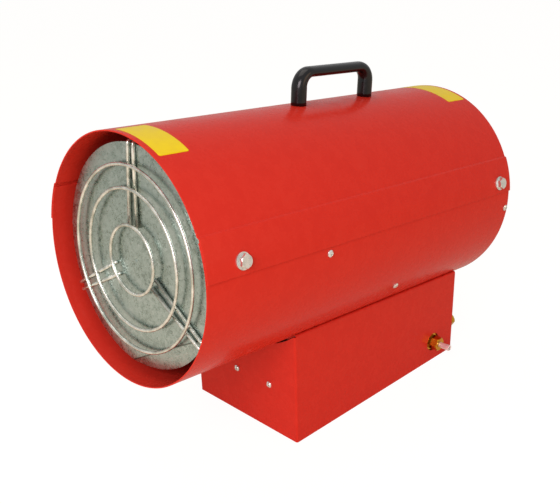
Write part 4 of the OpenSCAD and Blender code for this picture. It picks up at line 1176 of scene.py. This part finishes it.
@dataclass(frozen=True)
class PhotoCamera:
    """The camera found from the photograph, in millimetres from the middle of the base."""

    position: tuple[float, float, float] = (673.2, -743.5, 595.9)
    forward: tuple[float, float, float] = (-0.6488, 0.6311, -0.4252)
    up: tuple[float, float, float] = (-0.2844, 0.3171, 0.9047)
    focal_px: float = 828.36
    centre_px: tuple[float, float] = (282.51, 287.55)
    width_px: float = 560.0
    height_px: float = 504.0
    sensor_mm: float = 36.0
    nearest_m: float = 0.05
    farthest_m: float = 30.0

    def build(self) -> None:
        """Makes the camera and gives it to the scene."""
        data = bpy.data.cameras.new("camera")
        data.sensor_width = self.sensor_mm
        data.lens = self.focal_px * self.sensor_mm / self.width_px
        data.shift_x = (self.width_px / 2.0 - self.centre_px[0]) / self.width_px
        data.shift_y = (self.centre_px[1] - self.height_px / 2.0) / self.width_px
        data.clip_start, data.clip_end = self.nearest_m, self.farthest_m
        back = -Vector(self.forward).normalized()
        up = Vector(self.up)
        up = (up - back * up.dot(back)).normalized()
        side = up.cross(back)
        turn = Matrix((side, up, back)).transposed().to_4x4()
        shift = Vector((0.0, CASING.base_y, 0.0))
        turn.translation = (Vector(self.position) + shift) * MM
        camera = bpy.data.objects.new("camera", data)
        camera.matrix_world = turn
        bpy.context.scene.collection.objects.link(camera)
        bpy.context.scene.camera = camera


@dataclass(frozen=True)
class SoftBox:
    """A square area lamp that looks at a point of the heater, in metres and watts."""

    name: str
    position: tuple[float, float, float]
    size: float
    power: float
    colour: str
    target: tuple[float, float, float] = (0.0, 0.0, 0.22)

    def build(self) -> None:
        """Makes the lamp."""
        data = bpy.data.lights.new(self.name, "AREA")
        data.shape = "SQUARE"
        data.size = self.size
        data.energy = self.power
        data.color = linear(self.colour)[:3]
        lamp = bpy.data.objects.new(self.name, data)
        lamp.location = self.position
        aim = Vector(self.target) - Vector(self.position)
        lamp.rotation_mode = "QUATERNION"
        lamp.rotation_quaternion = aim.to_track_quat("-Z", "Y")
        bpy.context.scene.collection.objects.link(lamp)


@dataclass
class Studio:
    """The pale floor, the surroundings and the lamps.

    Camera and glass rays see the surroundings as plain white, and the floor mostly so. Mirror rays
    see a share of that white, so metal and gloss show the background and yet keep their shading.
    """

    ambient: float = 0.4
    sky_mirrored: float = 0.4
    floor_mirrored: float = 0.3
    floor_colour: str = "#f3e4c8"
    floor_white: float = 0.86
    floor_glow: float = 1.1
    floor_half: float = 6.0
    lamps: tuple[SoftBox, ...] = (
        SoftBox("key", (0.75, -1.45, 1.05), 0.9, 22.0, "#fff0f6"),
        SoftBox("top", (-0.4, -0.1, 2.1), 1.4, 8.0, "#fff4ea"),
        SoftBox("side", (2.1, 0.7, 0.9), 1.2, 7.5, "#ffc996"),
    )

    def seen_rays(self, owner: Owner, mirrored: float) -> Socket:
        """How much of the plain white each ray sees.

        Args:
            owner: the world or the material that the nodes go into.
            mirrored: the share that mirror rays see.

        Returns:
            An output: one for camera and glass rays, the share for mirror rays, zero for others.
        """
        path = add_node(owner, "ShaderNodeLightPath").outputs
        mirror = add_node(
            owner,
            "ShaderNodeMath",
            {"operation": "MULTIPLY", 1: mirrored},
            {0: path["Is Glossy Ray"]},
        )
        seen = mirror.outputs["Value"]
        for rays in ("Is Camera Ray", "Is Transmission Ray"):
            either = add_node(
                owner, "ShaderNodeMath", {"operation": "MAXIMUM"}, {0: seen, 1: path[rays]}
            )
            seen = either.outputs["Value"]
        return seen

    def world(self) -> None:
        """Makes the surroundings: a soft ambient light, which the camera sees as white."""
        world = bpy.data.worlds.new("surroundings")
        bpy.context.scene.world = world
        world.use_nodes = True
        world.node_tree.nodes.clear()
        ambient, white = (
            add_node(
                world, "ShaderNodeBackground", {"Color": linear(WHITE), "Strength": strength}
            )
            for strength in (self.ambient, 1.0)
        )
        seen = self.seen_rays(world, self.sky_mirrored)
        mix = add_node(
            world,
            "ShaderNodeMixShader",
            links={0: seen, 1: ambient.outputs[0], 2: white.outputs[0]},
        )
        add_node(world, "ShaderNodeOutputWorld", links={"Surface": mix.outputs[0]})

    def floor(self) -> None:
        """Makes the floor: near white to the camera, with a little of the heater's shadow."""
        material = bpy.data.materials.new("studio_floor")
        material.use_nodes = True
        material.node_tree.nodes.clear()
        matt = add_node(material, "ShaderNodeBsdfDiffuse", {"Color": linear(self.floor_colour)})
        white = add_node(
            material, "ShaderNodeEmission", {"Color": linear(WHITE), "Strength": self.floor_glow}
        )
        share = add_node(
            material,
            "ShaderNodeMath",
            {"operation": "MULTIPLY", 1: self.floor_white},
            {0: self.seen_rays(material, self.floor_mirrored)},
        )
        mix = add_node(
            material,
            "ShaderNodeMixShader",
            links={0: share.outputs["Value"], 1: matt.outputs[0], 2: white.outputs[0]},
        )
        add_node(material, "ShaderNodeOutputMaterial", links={"Surface": mix.outputs[0]})
        h = self.floor_half
        corners = np.array([[-h, -h, 0.0], [h, -h, 0.0], [h, h, 0.0], [-h, h, 0.0]])
        floor = make_piece("studio_floor", corners, np.array([[0, 1, 2, 3]]), material)

    def build(self) -> None:
        """Makes the whole studio."""
        self.world()
        self.floor()
        for lamp in self.lamps:
            lamp.build()
        bpy.context.scene.view_settings.view_transform = "Standard"


def main() -> None:
    """Loads the frame and builds each sub-assembly in turn, then the camera and the studio."""
    logging.basicConfig(level=logging.INFO, format="%(name)s: %(message)s")
    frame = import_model()
    finishes = Finishes()
    CasingShells(finishes).build()
    BlankFilms(finishes).build()
    OutletGuard(finishes).build()
    CarryingHandle(finishes).build()
    CarriedNodes(finishes).build(frame)
    PhotoCamera().build()
    Studio().build()


if __name__ == "__main__":
    main()
